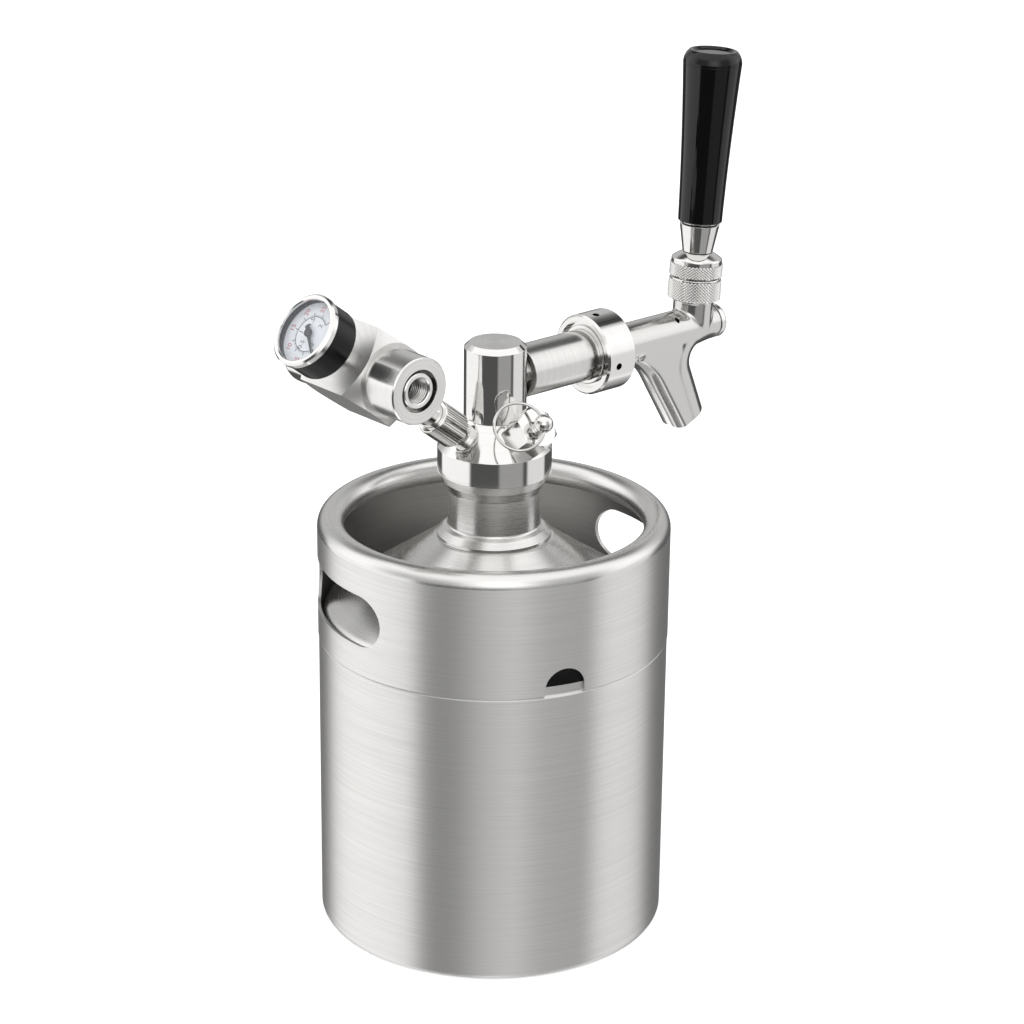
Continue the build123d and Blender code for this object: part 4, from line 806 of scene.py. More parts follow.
def between_stations(distance):
    """The spout's sizes at a distance, on a smooth curve through its stations."""
    stations = SPOUT_STATIONS
    upper = next(index for index in range(1, len(stations))
                 if distance <= stations[index][0] or index == len(stations) - 1)
    low, high = stations[upper - 1], stations[upper]
    before = stations[max(upper - 2, 0)]
    after = stations[min(upper + 1, len(stations) - 1)]
    span = high[0] - low[0]
    t = (distance - low[0]) / span
    values = []
    for column in (1, 2, 3):
        leaving = (high[column] - before[column]) / (high[0] - before[0]) * span
        arriving = (after[column] - low[column]) / (after[0] - low[0]) * span
        values.append(on_curve(t, low[column], leaving, high[column], arriving))
    return values


def turned_rings(place, outline, steps=96):
    """Rings round a place's axis through (radius, distance) points in millimetres."""
    return [[place @ Vector((radius * MM * math.cos(math.tau * step / steps),
                             radius * MM * math.sin(math.tau * step / steps), distance * MM))
             for step in range(steps)] for radius, distance in outline]


def spout_place():
    """The spout's tip: z up the spout and x across it."""
    level = TAP.translation.z
    return place_on((SPOUT_TIP[0] * MM, 0, level + SPOUT_TIP[1] * MM),
                    (-math.sin(SPOUT_LEAN), 0, math.cos(SPOUT_LEAN)), (0, -1, 0))


def shank_place():
    """Where the shank's axis meets the keg's: z along the shank."""
    return place_on((0, 0, TAP.translation.z), (1, 0, 0), (0, 1, 0))


def neck_place():
    """Where the neck's axis meets the shank's: z up the lever."""
    return place_on((NECK_X * MM, 0, TAP.translation.z), LEVER.to_3x3() @ Vector((0, 0, 1)),
                    (0, 1, 0))


def faucet_forms():
    """Barrel, neck, bent outlet tube and spout, each as rings."""
    barrel = turned_rings(shank_place(), (
        (14.95, 64.1), (14.95, 73.6), (9.2, 73.6), (9.2, 76.0), (9.8, 76.0), (9.8, 128.0),
        (9.5, 131.0), (8.9, 136.0), (8.65, 139.0), (8.65, 143.0)))
    neck = turned_rings(neck_place(), ((10.0, 0.0), (10.0, 13.8), (9.0, 13.8), (9.0, 30.0)))
    level = TAP.translation.z
    bend_x = SPOUT_TIP[0] + SPOUT_TIP[1] * math.tan(ELBOW_LEAN) + ELBOW_BEND * math.tan(
        (math.pi / 2 + ELBOW_LEAN) / 2)
    path = []
    for step in range(25):
        angle = math.pi / 2 + (math.pi / 2 + ELBOW_LEAN) * step / 24
        path.append((Vector((bend_x + ELBOW_BEND * math.cos(angle), 0,
                             ELBOW_BEND * (math.sin(angle) - 1))),
                     Vector((-math.sin(angle), 0, math.cos(angle)))))
    last, along = path[-1]
    for step in range(1, 13):
        path.append((last + along * ELBOW_STEP * step, along))
    elbow = []
    for spot, heading in path:
        place = place_on(spot * MM + Vector((0, 0, level)), heading, (0, 1, 0))
        elbow += turned_rings(place, ((ELBOW_RADIUS, 0.0),), 64)
    spout = []
    place = spout_place()
    for step in range(SPOUT_SLICES):
        distance = step + SPOUT_STATIONS[0][0]
        back, front, _ = between_stations(distance)
        section = [(-SPOUT_FRONT_RADIUS * math.cos(math.pi * turn / 16),
                    front + SPOUT_FRONT_RADIUS * math.sin(math.pi * turn / 16))
                   for turn in range(17)]
        section += [(8.7, 2.2 - back), (4.5, -back), (-4.5, -back), (-8.7, 2.2 - back)]
        spout.append([place @ (Vector((x, y, distance)) * MM) for x, y in section])
    return [barrel, neck, elbow, spout]


def faucet_bores():
    """What is cut out of the casting: its bores, the vent, the groove and the outlet's face."""
    spout = spout_place()
    groove = []
    for step in range(GROOVE_SLICES):
        distance = step + SPOUT_STATIONS[0][0]
        back, _, depth = between_stations(distance)
        open_side = depth - back - 3.2
        groove.append([spout @ (Vector((x, y, distance)) * MM)
                       for x, y in ((-GROOVE_HALF_WIDTH, open_side),
                                    (GROOVE_HALF_WIDTH, open_side), (0.0, depth - back))])
    vent = place_on((VENT_X * MM, VENT_Y * MM, TAP.translation.z), (0, 0, 1), (1, 0, 0))
    return (
        ("outlet face", turned_rings(spout, ((30.0, -12.0), (30.0, 0.0)), 48)),
        ("barrel bore", turned_rings(shank_place(), (
            (7.0, 63.0), (7.0, 95.0), (4.2, 95.0), (4.2, 98.0), (6.0, 98.0), (6.0, 112.0),
            (5.5, 112.0), (5.5, 137.5), (6.05, 137.5), (6.05, 147.0)))),
        ("passage", turned_rings(neck_place(), (
            (7.62, 3.0), (4.2, 15.0), (7.5, 15.0), (7.5, 31.0)))),
        ("outlet bore", turned_rings(spout, ((6.4, -3.0), (6.4, 47.87)))),
        ("groove", groove),
        ("vent", turned_rings(vent, ((VENT_RADIUS, 4.0), (VENT_RADIUS, 14.0)), 32)))


def joined_rings(name, solids):
    """One mesh of closed solids, each made of rings that follow one another."""
    corners, faces = [], []
    for rings in solids:
        first, count = len(corners), len(rings[0])
        for ring in rings:
            corners += ring
        for row in range(len(rings) - 1):
            low = first + row * count
            for step in range(count):
                after = (step + 1) % count
                faces.append([low + step, low + after, low + count + after, low + count + step])
        faces.append([first + step for step in reversed(range(count))])
        faces.append([len(corners) - count + step for step in range(count)])
    mesh = bpy.data.meshes.new(name)
    mesh.from_pydata(corners, [], faces)
    turned = bmesh.new()
    turned.from_mesh(mesh)
    bmesh.ops.recalc_face_normals(turned, faces=turned.faces)
    turned.to_mesh(mesh)
    turned.free()
    return mesh


# ------------------------------------------------------------------ pieces

# Heights above the seam between which the shell behind the notch is painted dark as shade, millimetres
GUTTER_START, GUTTER_END = 4.2, 16.0
NOTCH_AZIMUTH = math.radians(-107.5)
NOTCH_REACH = 0.14          # half the angle seen through the notch, radians
ROLL_HEIGHT = 7.0           # of the chime's rolled rim, millimetres
CHIME_DEPTH = 3.0           # the chime's inner wall is within this of its widest point


class KEG_OT_vessel(Operator):
    """Turn the keg's shell and neck and brush the chime"""
    bl_idname = "keg.vessel"
    bl_label = "Keg"

    def execute(self, context):
        seam = min(vertex.co.z for vertex in frame["nodes"]["chime"].data.vertices)
        shell = turn_piece("keg_shell", KEG, "stainless_sheet_brushed", edge=0.4, steps=288,
                           cuts=(seam / MM + GUTTER_START,))
        finish_faces(shell, "stainless_dome_brushed",
                     lambda middle, normal: normal.z > 0.3 and middle.z > seam)

        # The shell seen through the notch is painted dark as the shade in the gutter.
        def behind_notch(middle, normal):
            turn = math.atan2(middle.y, middle.x) - NOTCH_AZIMUTH
            return (abs(turn) < NOTCH_REACH
                    and seam + GUTTER_START * MM < middle.z < seam + GUTTER_END * MM)

        finish_faces(shell, "stainless_gutter_painted_shade", behind_notch)
        turn_piece("keg_neck", KEG, "stainless_dome_brushed", edge=0.3, steps=192)
        self.brush_chime()
        paint_nodes("nitrile_moulded_black", "neck_gasket")
        return {"FINISHED"}

    def brush_chime(self):
        """The chime keeps its cut-outs, and takes its normals from its own turned outline."""
        piece = break_edges("chime", "stainless_sheet_brushed", edge=0.35, sharp=50.0)
        outlines = [(smoothed(eased(points, closed, 0.3 * MM), closed), closed)
                    for points, closed in half_outlines("chime", KEG, 75.0)]
        guide_normals(piece.data, outlines)
        outer = max(vertex.co.xy.length for vertex in piece.data.vertices)
        top = max(vertex.co.z for vertex in piece.data.vertices)
        finish_faces(piece, "stainless_dome_brushed",
                     lambda middle, normal: middle.z > top - ROLL_HEIGHT * MM)
        # The chime's inner wall below the roll is painted darker as shade.
        finish_faces(piece, "stainless_inside_painted_shade",
                     lambda middle, normal: normal.xy.dot(middle.xy.normalized()) < -0.9
                     and middle.xy.length > outer - CHIME_DEPTH * MM
                     and middle.z < top - ROLL_HEIGHT * MM)


def guide_normals(mesh, outlines, reach_mm=0.2, limit=0.94):
    """Sets corner normals from a turned outline wherever a face lies along it."""
    lengths = [(a[0], b[0], a[1], b[1]) for outline, closed in outlines
               for a, b in zip(outline, outline[1:] + outline[:1] if closed else outline[1:])]
    normals = [corner.vector.copy() for corner in mesh.corner_normals]
    found = {}
    for face in mesh.polygons:
        for loop_index in face.loop_indices:
            vertex = mesh.vertices[mesh.loops[loop_index].vertex_index].co
            radius = math.hypot(vertex.x, vertex.y)
            key = (round(radius * 1e6), round(vertex.z * 1e6))
            if key not in found:
                found[key] = nearest_on(lengths, Vector((radius, vertex.z)), reach_mm * MM)
            for normal in found[key]:
                leaning = Vector((normal.x * vertex.x / radius, normal.x * vertex.y / radius,
                                  normal.y))
                if leaning.dot(face.normal) > limit:
                    normals[loop_index] = leaning
                    break
    mesh.normals_split_custom_set(normals)


def nearest_on(lengths, point, within):
    """Normals of an outline's lengths near a point, the nearest first."""
    near = []
    for start, end, first, last in lengths:
        run = end - start
        share = 0.0 if run.length == 0 else (point - start).dot(run) / run.length_squared
        share = min(max(share, 0.0), 1.0)
        distance = (start + run * share - point).length
        if distance < within:
            near.append((distance, first.lerp(last, share).normalized()))
    near.sort(key=lambda item: item[0])
    return [normal for distance, normal in near[:4]]


class KEG_OT_head(Operator):
    """Turn the cap, the column, the shank and its washer"""
    bl_idname = "keg.head"
    bl_label = "Cap and column"

    def execute(self, context):
        turn_piece("cap_body", KEG, "stainless_buffed_keg", edge=0.35, azimuth=137.0, steps=192)
        column = turn_piece("tap_column", KEG, "stainless_buffed_keg", edge=0.3, azimuth=137.0,
                            steps=192)
        finish_faces(column, "stainless_faced_column", lambda middle, normal: normal.z > 0.98)
        turn_piece("dip_tube", KEG, "stainless_buffed_keg", edge=0.1, steps=64)
        turn_piece("shank", TAP, "stainless_ground_shank", edge=0.25, steps=192)
        turn_piece("nut_washer", TAP, "stainless_buffed_tap", edge=0.15, steps=144)
        paint_nodes("stainless_knurled", "dip_tube_nut")
        paint_nodes("nitrile_moulded_black", "dip_tube_seal", "shank_seal")
        return {"FINISHED"}


class KEG_OT_tap(Operator):
    """Finish the coupling nut, the faucet and the lever joint"""
    bl_idname = "keg.tap"
    bl_label = "Tap"

    def execute(self, context):
        knurl = context.scene.keg_knurl
        nut = break_edges("collar_nut", "stainless_buffed_tap", edge=0.25)
        self.paint_hole_shade(nut)
        self.cast_faucet(context.scene.keg_faucet)
        break_edges("nose_plug", "stainless_buffed_tap", edge=0.2)
        tree = diamond_tree()
        for node in ("lock_ring", "bonnet_cap"):
            self.knurl_band(node, tree, knurl)
        paint_nodes("stainless_knurled", "plunger")
        paint_nodes("nitrile_moulded_black", "plunger_seal", "plunger_oring")
        paint_nodes("nylon_moulded_white", "ball_cup", "friction_ring")
        return {"FINISHED"}

    def cast_faucet(self, cast):
        """The faucet again as one casting: its tubes flow into each other, then it is bored."""
        raw = put_in("faucet_raw", joined_rings("faucet_raw", faucet_forms()))
        remesh = raw.modifiers.new("one skin", "REMESH")
        remesh.mode = "VOXEL"
        remesh.voxel_size = cast.grain
        skin = put_in("faucet_skin", evaluated_mesh(raw, "faucet_skin"))
        flowing = skin.vertex_groups.new(name="flowing")
        level = TAP.translation.z
        for vertex in skin.data.vertices:
            past_nut = (vertex.co.x - 79.0 * MM) / (6.0 * MM)
            below_ring = (level + 12.5 * MM - vertex.co.z) / (4.0 * MM)
            weight = max(0.0, min(1.0, past_nut, below_ring))
            flowing.add([vertex.index], weight, "REPLACE")
        tumbled = skin.modifiers.new("tumbled", "SMOOTH")
        tumbled.iterations = 4
        blended = skin.modifiers.new("blended", "SMOOTH")
        blended.iterations = cast.blend
        blended.vertex_group = "flowing"
        cutters = []
        for name, rings in faucet_bores():
            cutter = put_in(name, joined_rings(name, [rings]))
            bored = skin.modifiers.new(name, "BOOLEAN")
            bored.operation = "DIFFERENCE"
            bored.solver = "EXACT"
            bored.object = cutter
            cutters.append(cutter)
        mesh = evaluated_mesh(skin, "faucet_casting")
        for cutter in cutters:
            bpy.data.objects.remove(cutter)
        mesh.shade_smooth()
        mesh.set_sharp_from_angle(angle=math.radians(34))
        piece = add_piece("faucet_casting", mesh, BODY_OF["faucet_body"],
                          "stainless_cast_satin", ["faucet_body"])
        # The vent's wall is painted dark as the shade in the hole.
        vent = Vector((VENT_X, VENT_Y)) * MM
        finish_faces(piece, "stainless_hole_painted_shade",
                     lambda middle, normal: (middle.xy - vent).length < (VENT_RADIUS + 0.1) * MM
                     and middle.z < level + 7.2 * MM and middle.z > level + 3.5 * MM)

    def paint_hole_shade(self, nut):
        """The walls and floors of the nut's spanner holes, found between its two radii, painted dark as the shade
        in them.
        """
        inverse = TAP.inverted()
        radii = [(inverse @ vertex.co).xy.length for vertex in nut.data.vertices]
        outer = max(radii)
        low, high = reach("collar_nut", TAP)

        def in_hole(middle, normal):
            spot = inverse @ middle
            return (outer - 3.4 * MM < spot.xy.length < outer - 0.35 * MM
                    and low + 4.0 * MM < spot.z < high - 2.0 * MM)

        finish_faces(nut, "stainless_hole_painted_shade", in_hole)

    def knurl_band(self, node, tree, knurl):
        """Diamonds round a ring that is turned down to their foot."""
        root = outer_radius(node, LEVER, 100.0) - knurl.diamond_depth
        low, high = reach(node, LEVER)
        if node == "bonnet_cap":
            # Only its ring is knurled. The cap isn't turned again, so that it keeps its slot.
            high = low + BONNET_RING * MM
            cap = break_edges(node, "stainless_buffed_lever", edge=0.2)
            inverse = LEVER.inverted()
            for vertex in cap.data.vertices:
                spot = inverse @ vertex.co
                if spot.xy.length > root:
                    spot.xy = spot.xy * (root / spot.xy.length)
                    vertex.co = LEVER @ spot
        else:
            turn_piece(node, LEVER, "stainless_buffed_lever", edge=0.2, azimuth=100.0,
                       narrow=root / MM)
        rows = max(4, round((high - low) / knurl.diamond_pitch) * 2 - 2)
        grow(node + "_knurl", tree, LEVER, BODY_OF[node], "stainless_knurled", SLOT_OF[node],
             Radius=root - 0.05 * MM + knurl.diamond_depth / 2,
             Start=low + 0.5 * MM + knurl.diamond_pitch / 2,
             Length=high - low - 1.2 * MM - knurl.diamond_pitch, Depth=knurl.diamond_depth,
             Around=round(math.tau * root / knurl.diamond_pitch), Rows=rows)


class KEG_OT_handle(Operator):
    """Turn the lever and its black handle"""
    bl_idname = "keg.handle"
    bl_label = "Lever and handle"

    def execute(self, context):
        turn_piece("lever", LEVER, "stainless_buffed_lever", edge=0.25, steps=160)
        turn_piece("handle", LEVER, "phenolic_moulded_black", edge=0.9, steps=192)
        turn_piece("handle_cap", LEVER, "phenolic_moulded_black", edge=0.7, steps=192)
        paint_nodes("brass_turned", "handle_insert")
        return {"FINISHED"}


class KEG_OT_gas_line(Operator):
    """Turn the gas post and knurl its hand nut"""
    bl_idname = "keg.gas_line"
    bl_label = "Gas post and hand nut"

    def execute(self, context):
        knurl = context.scene.keg_knurl
        turn_piece("gas_post", GAS, "stainless_buffed_gas", edge=0.2)
        root = outer_radius("gas_sleeve", GAS, 23.0) - knurl.ridge_depth
        turn_piece("gas_sleeve", GAS, "stainless_buffed_gas", edge=0.2, narrow=root / MM)
        low, high = reach("gas_sleeve", GAS)
        grow("gas_sleeve_ridges", ridge_tree(), GAS, BODY_OF["gas_sleeve"],
             "stainless_knurled", SLOT_OF["gas_sleeve"], Radius=root - 0.1 * MM,
             Start=low + 1.0 * MM, Length=high - low - 2.0 * MM,
             Depth=knurl.ridge_depth * 1.2, Around=knurl.ridge_count)
        turn_piece("regulator_stem", GAS, "stainless_buffed_gas", edge=0.15)
        paint_nodes("stainless_knurled", "gas_check_ball")
        paint_nodes("spring_wire_drawn", "gas_check_spring")
        return {"FINISHED"}


class KEG_OT_regulator(Operator):
    """Finish the regulator, its inlet and its knob"""
    bl_idname = "keg.regulator"
    bl_label = "Regulator"

    def execute(self, context):
        knurl = context.scene.keg_knurl
        break_edges("regulator_block", "stainless_milled_block", edge=0.3, sharp=25.0)
        turn_piece("inlet_body", REGULATOR, "stainless_turned_inlet", edge=0.3, steps=192)
        turn_piece("inlet_insert", REGULATOR, "stainless_faced_inlet", edge=0.15, steps=144)
        turn_piece("pressure_knob", REGULATOR, "stainless_buffed_regulator", edge=0.3,
                   steps=192)
        paint_nodes("stainless_knurled", "regulator_bonnet")
        paint_nodes("spring_wire_drawn", "piercing_pin", "adjusting_screw", "regulator_spring")
        paint_nodes("nitrile_moulded_black", "inlet_seal")
        paint_nodes("brass_turned", "regulator_piston", "spring_seat")
        mount = next(mount for mount in frame["record"]["mounts"]
                     if mount["name"] == "cartridge_inlet")
        bore = mount["dims"]["r_mm"] * MM
        length = mount["dims"]["length_mm"] * MM
        mouth = place_on(mount["pos_m"], mount["axis"], (0, 0, 1))
        grow("inlet_thread", thread_tree(), mouth, "regulator", "stainless_faced_inlet",
             SLOT_OF["inlet_insert"], Radius=bore, Start=-length / 2,
             Length=length - knurl.thread_pitch / 2, Depth=knurl.thread_depth,
             Turns=round(length / knurl.thread_pitch), Sides=64)
        return {"FINISHED"}


SCALE_START, SCALE_SWEEP = 225, 270         # degrees
SCALE_RADIUS, INNER_FIGURES, OUTER_FIGURES, FIGURE_HEIGHT = 8.6, 6.2, 12.5, 2.7  # millimetres
PRINT_HEIGHT = 0.03 * MM


class KEG_OT_gauge(Operator):
    """Finish the gauge and print its dial"""
    bl_idname = "keg.gauge"
    bl_label = "Gauge"

    def execute(self, context):
        turn_piece("gauge_stem", GAS, "stainless_buffed_gas", edge=0.15)
        case = turn_piece("gauge_case", GAS, "enamel_stoved_black", edge=0.2, steps=192)
        case.visible_glossy = False
        turn_piece("gauge_bezel", GAS, "stainless_buffed_gas", edge=0.15, steps=192)
        turn_piece("gauge_dial", GAS, "dial_enamel_white", edge=0.05, steps=128)
        turn_piece("gauge_lens", GAS, "acrylic_window_clear", edge=0.05, steps=96)
        paint_nodes("dial_ink_black", "gauge_needle")
        face = self.dial_place()
        tree = tick_tree()
        arc = dict(First=math.radians(SCALE_START), Sweep=math.radians(SCALE_SWEEP),
                   Height=0.02 * MM)
        for name, marks, length, width in (("fine", 41, 1.1, 0.2), ("main", 9, 1.9, 0.42)):
            grow("dial_marks_" + name, tree, face, "regulator", "dial_ink_black",
                 "needle_black", Radius=SCALE_RADIUS * MM, Length=length * MM, Width=width * MM,
                 Marks=marks, **arc)
        self.print_line(face, SCALE_RADIUS, 0.32)
        for figure, share in (("0", 0.0), ("0.5", 0.242), ("1", 0.483), ("1.5", 0.725),
                              ("2", 0.967)):
            self.print_figure(face, figure, share, INNER_FIGURES, "dial_ink_black", "inner")
        for step in range(7):
            self.print_figure(face, str(5 * step), step / 6, OUTER_FIGURES, "dial_ink_red",
                              "outer")
        return {"FINISHED"}

    def dial_place(self):
        """The dial's face: x to its right, y up it and z out of it."""
        height = reach("gauge_dial", GAS)[1]
        out = GAS.to_3x3() @ Vector((0, 0, 1))
        right = Vector((0, 1, 0)).cross(out)
        return place_on(GAS @ Vector((0, 0, height)), out, right)

    def print_line(self, face, radius_mm, width_mm):
        """The scale's line, a flat ring broken below."""
        first, last = math.radians(SCALE_START), math.radians(SCALE_START - SCALE_SWEEP)
        steps = 90
        corners, faces = [], []
        for step in range(steps + 1):
            angle = first + (last - first) * step / steps
            for radius in (radius_mm - width_mm / 2, radius_mm + width_mm / 2):
                corners.append(face @ Vector((radius * MM * math.cos(angle),
                                              radius * MM * math.sin(angle), PRINT_HEIGHT)))
        for step in range(steps):
            faces.append([2 * step, 2 * step + 2, 2 * step + 3, 2 * step + 1])
        mesh = bpy.data.meshes.new("dial_line")
        mesh.from_pydata(corners, [], faces)
        add_piece("dial_line", mesh, "regulator", "dial_ink_black")

    def print_figure(self, face, figure, share, radius_mm, finish, scale):
        """One figure of a scale, upright on the dial."""
        angle = math.radians(SCALE_START - SCALE_SWEEP * share)
        text = bpy.data.curves.new("figure", "FONT")
        text.body = figure
        text.size = FIGURE_HEIGHT * MM * 1.35
        text.align_x = "CENTER"
        text.align_y = "CENTER"
        carrier = put_in("figure_carrier", text)
        name = "dial_" + scale + "_" + figure.replace(".", "_")
        mesh = evaluated_mesh(carrier, name)
        spot = Matrix.Translation((radius_mm * MM * math.cos(angle),
                                   radius_mm * MM * math.sin(angle), PRINT_HEIGHT))
        mesh.transform(face @ spot)
        add_piece(name, mesh, "regulator", finish)


class KEG_OT_relief(Operator):
    """Finish the relief valve and its pull ring"""
    bl_idname = "keg.relief"
    bl_label = "Relief valve"

    def execute(self, context):
        break_edges("valve_body", "stainless_buffed_relief", edge=0.25, sharp=20.0)
        break_edges("valve_stem", "stainless_buffed_relief", edge=0.15)
        paint_nodes("nitrile_moulded_black", "valve_disc")
        paint_nodes("spring_wire_drawn", "valve_spring")
        self.bend_ring()
        return {"FINISHED"}

    def bend_ring(self):
        """The ring again as a fine torus, in the place that its node has."""
        swing = Vector(JOINTS["ring_swing"]["axis"]).normalized()
        pivot = Vector(JOINTS["ring_swing"]["pos_m"])
        vertices = [vertex.co for vertex in frame["nodes"]["pull_ring"].data.vertices]
        centre = sum(vertices, Vector()) / len(vertices)
        arm = centre - pivot
        arm -= swing * arm.dot(swing)
        centre = pivot + arm
        wire = 0.75 * MM
        place = place_on(centre, swing.cross(arm), arm)
        outline = []
        for step in range(16):
            angle = math.tau * step / 16
            normal = Vector((math.cos(angle), math.sin(angle)))
            outline.append((Vector((arm.length, 0)) + normal * wire, normal))
        mesh = lathe("pull_ring_wire", [(outline, True)], place, 96)
        add_piece("pull_ring_wire", mesh, "pull_ring", "stainless_knurled",
                  ["pull_ring"])


# ------------------------------------------------------------------ stage

# The light tent's panels: middle and width in degrees clockwise from behind the object, and level.
# The low ones stand at the height of the tap, the high ones are what the keg's wall mirrors.
LOW_TENT, LOW_EDGE = 0.1, 3
LOW_PANELS = ((90, 80, 1.2), (215, 50, 0.4), (275, 50, 0.9))
HIGH_TENT, HIGH_EDGE = 0.6, 12
HIGH_PANELS = ((80, 50, 1.4), (185, 40, 1.8), (280, 50, 1.4))
# Heights of a direction, as its z: the low ring's upper and lower edge, and the roof's edge
LOW_TOP, LOW_FOOT, ROOF_EDGE = (-0.10, 0.12), (-0.66, -0.82), (0.45, 0.75)
# The roof's edge toward the camera and its level behind the object and in front of it
ROOF_TURN, ROOF_LEVELS = (-0.50, -0.28), (0.08, 1.3)
FLOOR_HALF = 8.0            # metres
FLOOR_LIFT = 0.42           # glow that shows the camera a white floor


class KEG_OT_stage(Operator):
    """Set up the floor, the light and the camera"""
    bl_idname = "keg.stage"
    bl_label = "Stage"

    def execute(self, context):
        self.lay_floor()
        self.light_world(context.scene)
        self.set_camera(context.scene)
        context.scene.view_settings.view_transform = "Standard"
        return {"FINISHED"}

    def lay_floor(self):
        """A pale floor that keeps the shadow and isn't seen in the steel."""
        tree, output = new_material("paper_sweep_white")
        matt = add_node(tree, "ShaderNodeBsdfDiffuse", {"Color": linear("F2F2F2")})
        lift = add_node(tree, "ShaderNodeEmission",
                        {"Color": linear("FFFFFF"),
                         "Strength": number(tree, "MULTIPLY", add_node(
                             tree, "ShaderNodeLightPath").outputs["Is Camera Ray"], FLOOR_LIFT)})
        both = add_node(tree, "ShaderNodeAddShader", {0: matt.outputs[0], 1: lift.outputs[0]})
        tree.links.new(both.outputs[0], output.inputs["Surface"])
        mesh = bpy.data.meshes.new("floor")
        mesh.from_pydata([(x * FLOOR_HALF, y * FLOOR_HALF, 0)
                          for x, y in ((-1, -1), (1, -1), (1, 1), (-1, 1))], [], [[0, 1, 2, 3]])
        mesh.materials.append(bpy.data.materials["paper_sweep_white"])
        floor = put_in("floor", mesh)
        floor.visible_glossy = False

    def light_world(self, scene):
        """A tent with soft white panels, which the camera itself sees as plain white."""
        world = bpy.data.worlds.new("studio tent")
        world.use_nodes = True
        tree = world.node_tree
        tree.nodes.clear()
        output = add_node(tree, "ShaderNodeOutputWorld")
        sight = add_node(tree, "ShaderNodeTexCoord").outputs["Generated"]
        parts = add_node(tree, "ShaderNodeSeparateXYZ", {0: sight}).outputs
        front = scene.keg_stage.azimuth - math.pi / 2
        turned = number(tree, "SUBTRACT", number(tree, "ARCTAN2", parts["Y"], parts["X"]),
                        front + math.pi)
        share = number(tree, "FRACT", number(tree, "DIVIDE", turned, math.tau))
        low = self.panel_ring(tree, share, LOW_TENT, LOW_EDGE, LOW_PANELS)
        high = self.panel_ring(tree, share, HIGH_TENT, HIGH_EDGE, HIGH_PANELS)
        rise = self.smooth_step(tree, parts["Z"], LOW_TOP)
        sink = self.smooth_step(tree, parts["Z"], LOW_FOOT)
        wall = mixed(tree, number(tree, "MAXIMUM", rise, sink), low, high)
        over = self.smooth_step(tree, parts["Z"], ROOF_EDGE)
        # Overhead the tent is dark behind the object and bright toward the camera.
        toward = add_node(tree, "ShaderNodeVectorMath",
                          {0: sight, 1: (math.cos(front), math.sin(front), 0.0)},
                          operation="DOT_PRODUCT").outputs["Value"]
        roof = self.smooth_step(tree, toward, ROOF_TURN, ROOF_LEVELS)
        tent = mixed(tree, over, wall, roof)
        seen = add_node(tree, "ShaderNodeLightPath").outputs["Is Camera Ray"]
        shown = mixed(tree, seen, tent, linear("FFFFFF"))
        light = add_node(tree, "ShaderNodeBackground", {"Color": shown, "Strength": 1.0})
        tree.links.new(light.outputs[0], output.inputs["Surface"])
        scene.world = world

    def smooth_step(self, tree, value, across, levels=(0.0, 1.0)):
        """Goes softly from one level to the other while a value crosses a stretch."""
        return add_node(tree, "ShaderNodeMapRange",
                        {"Value": value, "From Min": across[0], "From Max": across[1],
                         "To Min": levels[0], "To Max": levels[1]},
                        interpolation_type="SMOOTHSTEP").outputs["Result"]

    def panel_ring(self, tree, share, tent, edge, panels):
        """Brightness round the tent: its own level, and a soft-edged plateau for each panel."""
        stops = [(0, tent)]
        for middle, width, level in panels:
            first, last = middle - width / 2, middle + width / 2
            stops += [(first - edge, tent), (first + edge, level), (last - edge, level),
                      (last + edge, tent)]
        stops.append((360, tent))
        ramp = add_node(tree, "ShaderNodeValToRGB", {"Fac": share})
        points = ramp.color_ramp.elements
        while len(points) > 1:
            points.remove(points[-1])
        for order, (degrees, level) in enumerate(stops):
            point = points[0] if order == 0 else points.new(degrees / 360)
            point.position = degrees / 360
            point.color = (level, level, level, 1)
        return ramp.outputs["Color"]

    def set_camera(self, scene):
        """The camera at the photograph's viewing angle."""
        stage = scene.keg_stage
        facing = Matrix.Rotation(stage.azimuth, 4, "Z")
        spot = facing @ Vector((stage.side_step, -stage.distance, stage.height))
        camera = put_in("camera", bpy.data.cameras.new("camera"))
        camera.data.lens = stage.lens
        camera.data.sensor_width = 36.0
        camera.data.clip_start = 0.1
        camera.data.clip_end = 50.0
        camera.matrix_world = (Matrix.Translation(spot) @ facing
                               @ Matrix.Rotation(stage.pan, 4, "Z")
                               @ Matrix.Rotation(math.pi / 2 - stage.pitch, 4, "X")
                               @ Matrix.Rotation(stage.roll, 4, "Z"))
        scene.camera = camera


# ------------------------------------------------------------------ panel and registration

SETTINGS = (KegFinishSettings, KegKnurlSettings, KegFaucetSettings, KegStageSettings)
STEPS = (KEG_OT_finishes, KEG_OT_vessel, KEG_OT_head, KEG_OT_tap, KEG_OT_handle,
         KEG_OT_gas_line, KEG_OT_regulator, KEG_OT_gauge, KEG_OT_relief, KEG_OT_stage)


class KEG_PT_panel(Panel):
    bl_label = "Mini Keg Dispenser"
    bl_idname = "KEG_PT_panel"
    bl_space_type = "VIEW_3D"
    bl_region_type = "UI"
    bl_category = "Keg"

    def draw(self, context):
        for step in STEPS:
            self.layout.operator(step.bl_idname)


def register():
    for cls in SETTINGS + STEPS + (KEG_PT_panel,):
        bpy.utils.register_class(cls)
    bpy.types.Scene.keg_finish = PointerProperty(type=KegFinishSettings)
    bpy.types.Scene.keg_knurl = PointerProperty(type=KegKnurlSettings)
    bpy.types.Scene.keg_faucet = PointerProperty(type=KegFaucetSettings)
    bpy.types.Scene.keg_stage = PointerProperty(type=KegStageSettings)


def unregister():
    for name in ("keg_stage", "keg_faucet", "keg_knurl", "keg_finish"):
        delattr(bpy.types.Scene, name)
    for cls in reversed(SETTINGS + STEPS + (KEG_PT_panel,)):
        bpy.utils.unregister_class(cls)


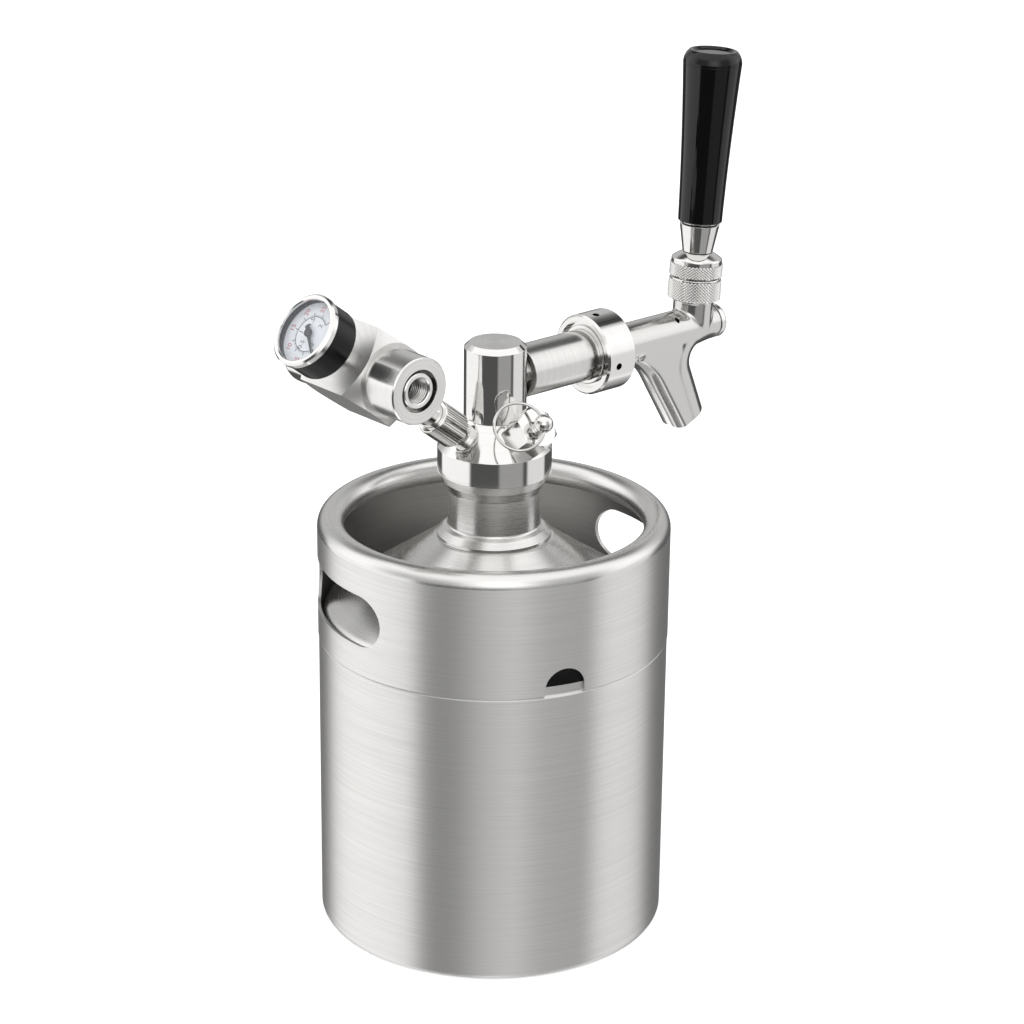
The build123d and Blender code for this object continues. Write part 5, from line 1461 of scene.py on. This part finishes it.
def main():
    register()
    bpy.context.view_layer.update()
    bpy.ops.keg.finishes()
    bpy.ops.keg.vessel()
    bpy.ops.keg.head()
    bpy.ops.keg.tap()
    bpy.ops.keg.handle()
    bpy.ops.keg.gas_line()
    bpy.ops.keg.regulator()
    bpy.ops.keg.gauge()
    bpy.ops.keg.relief()
    bpy.ops.keg.stage()


if __name__ == "__main__":
    main()
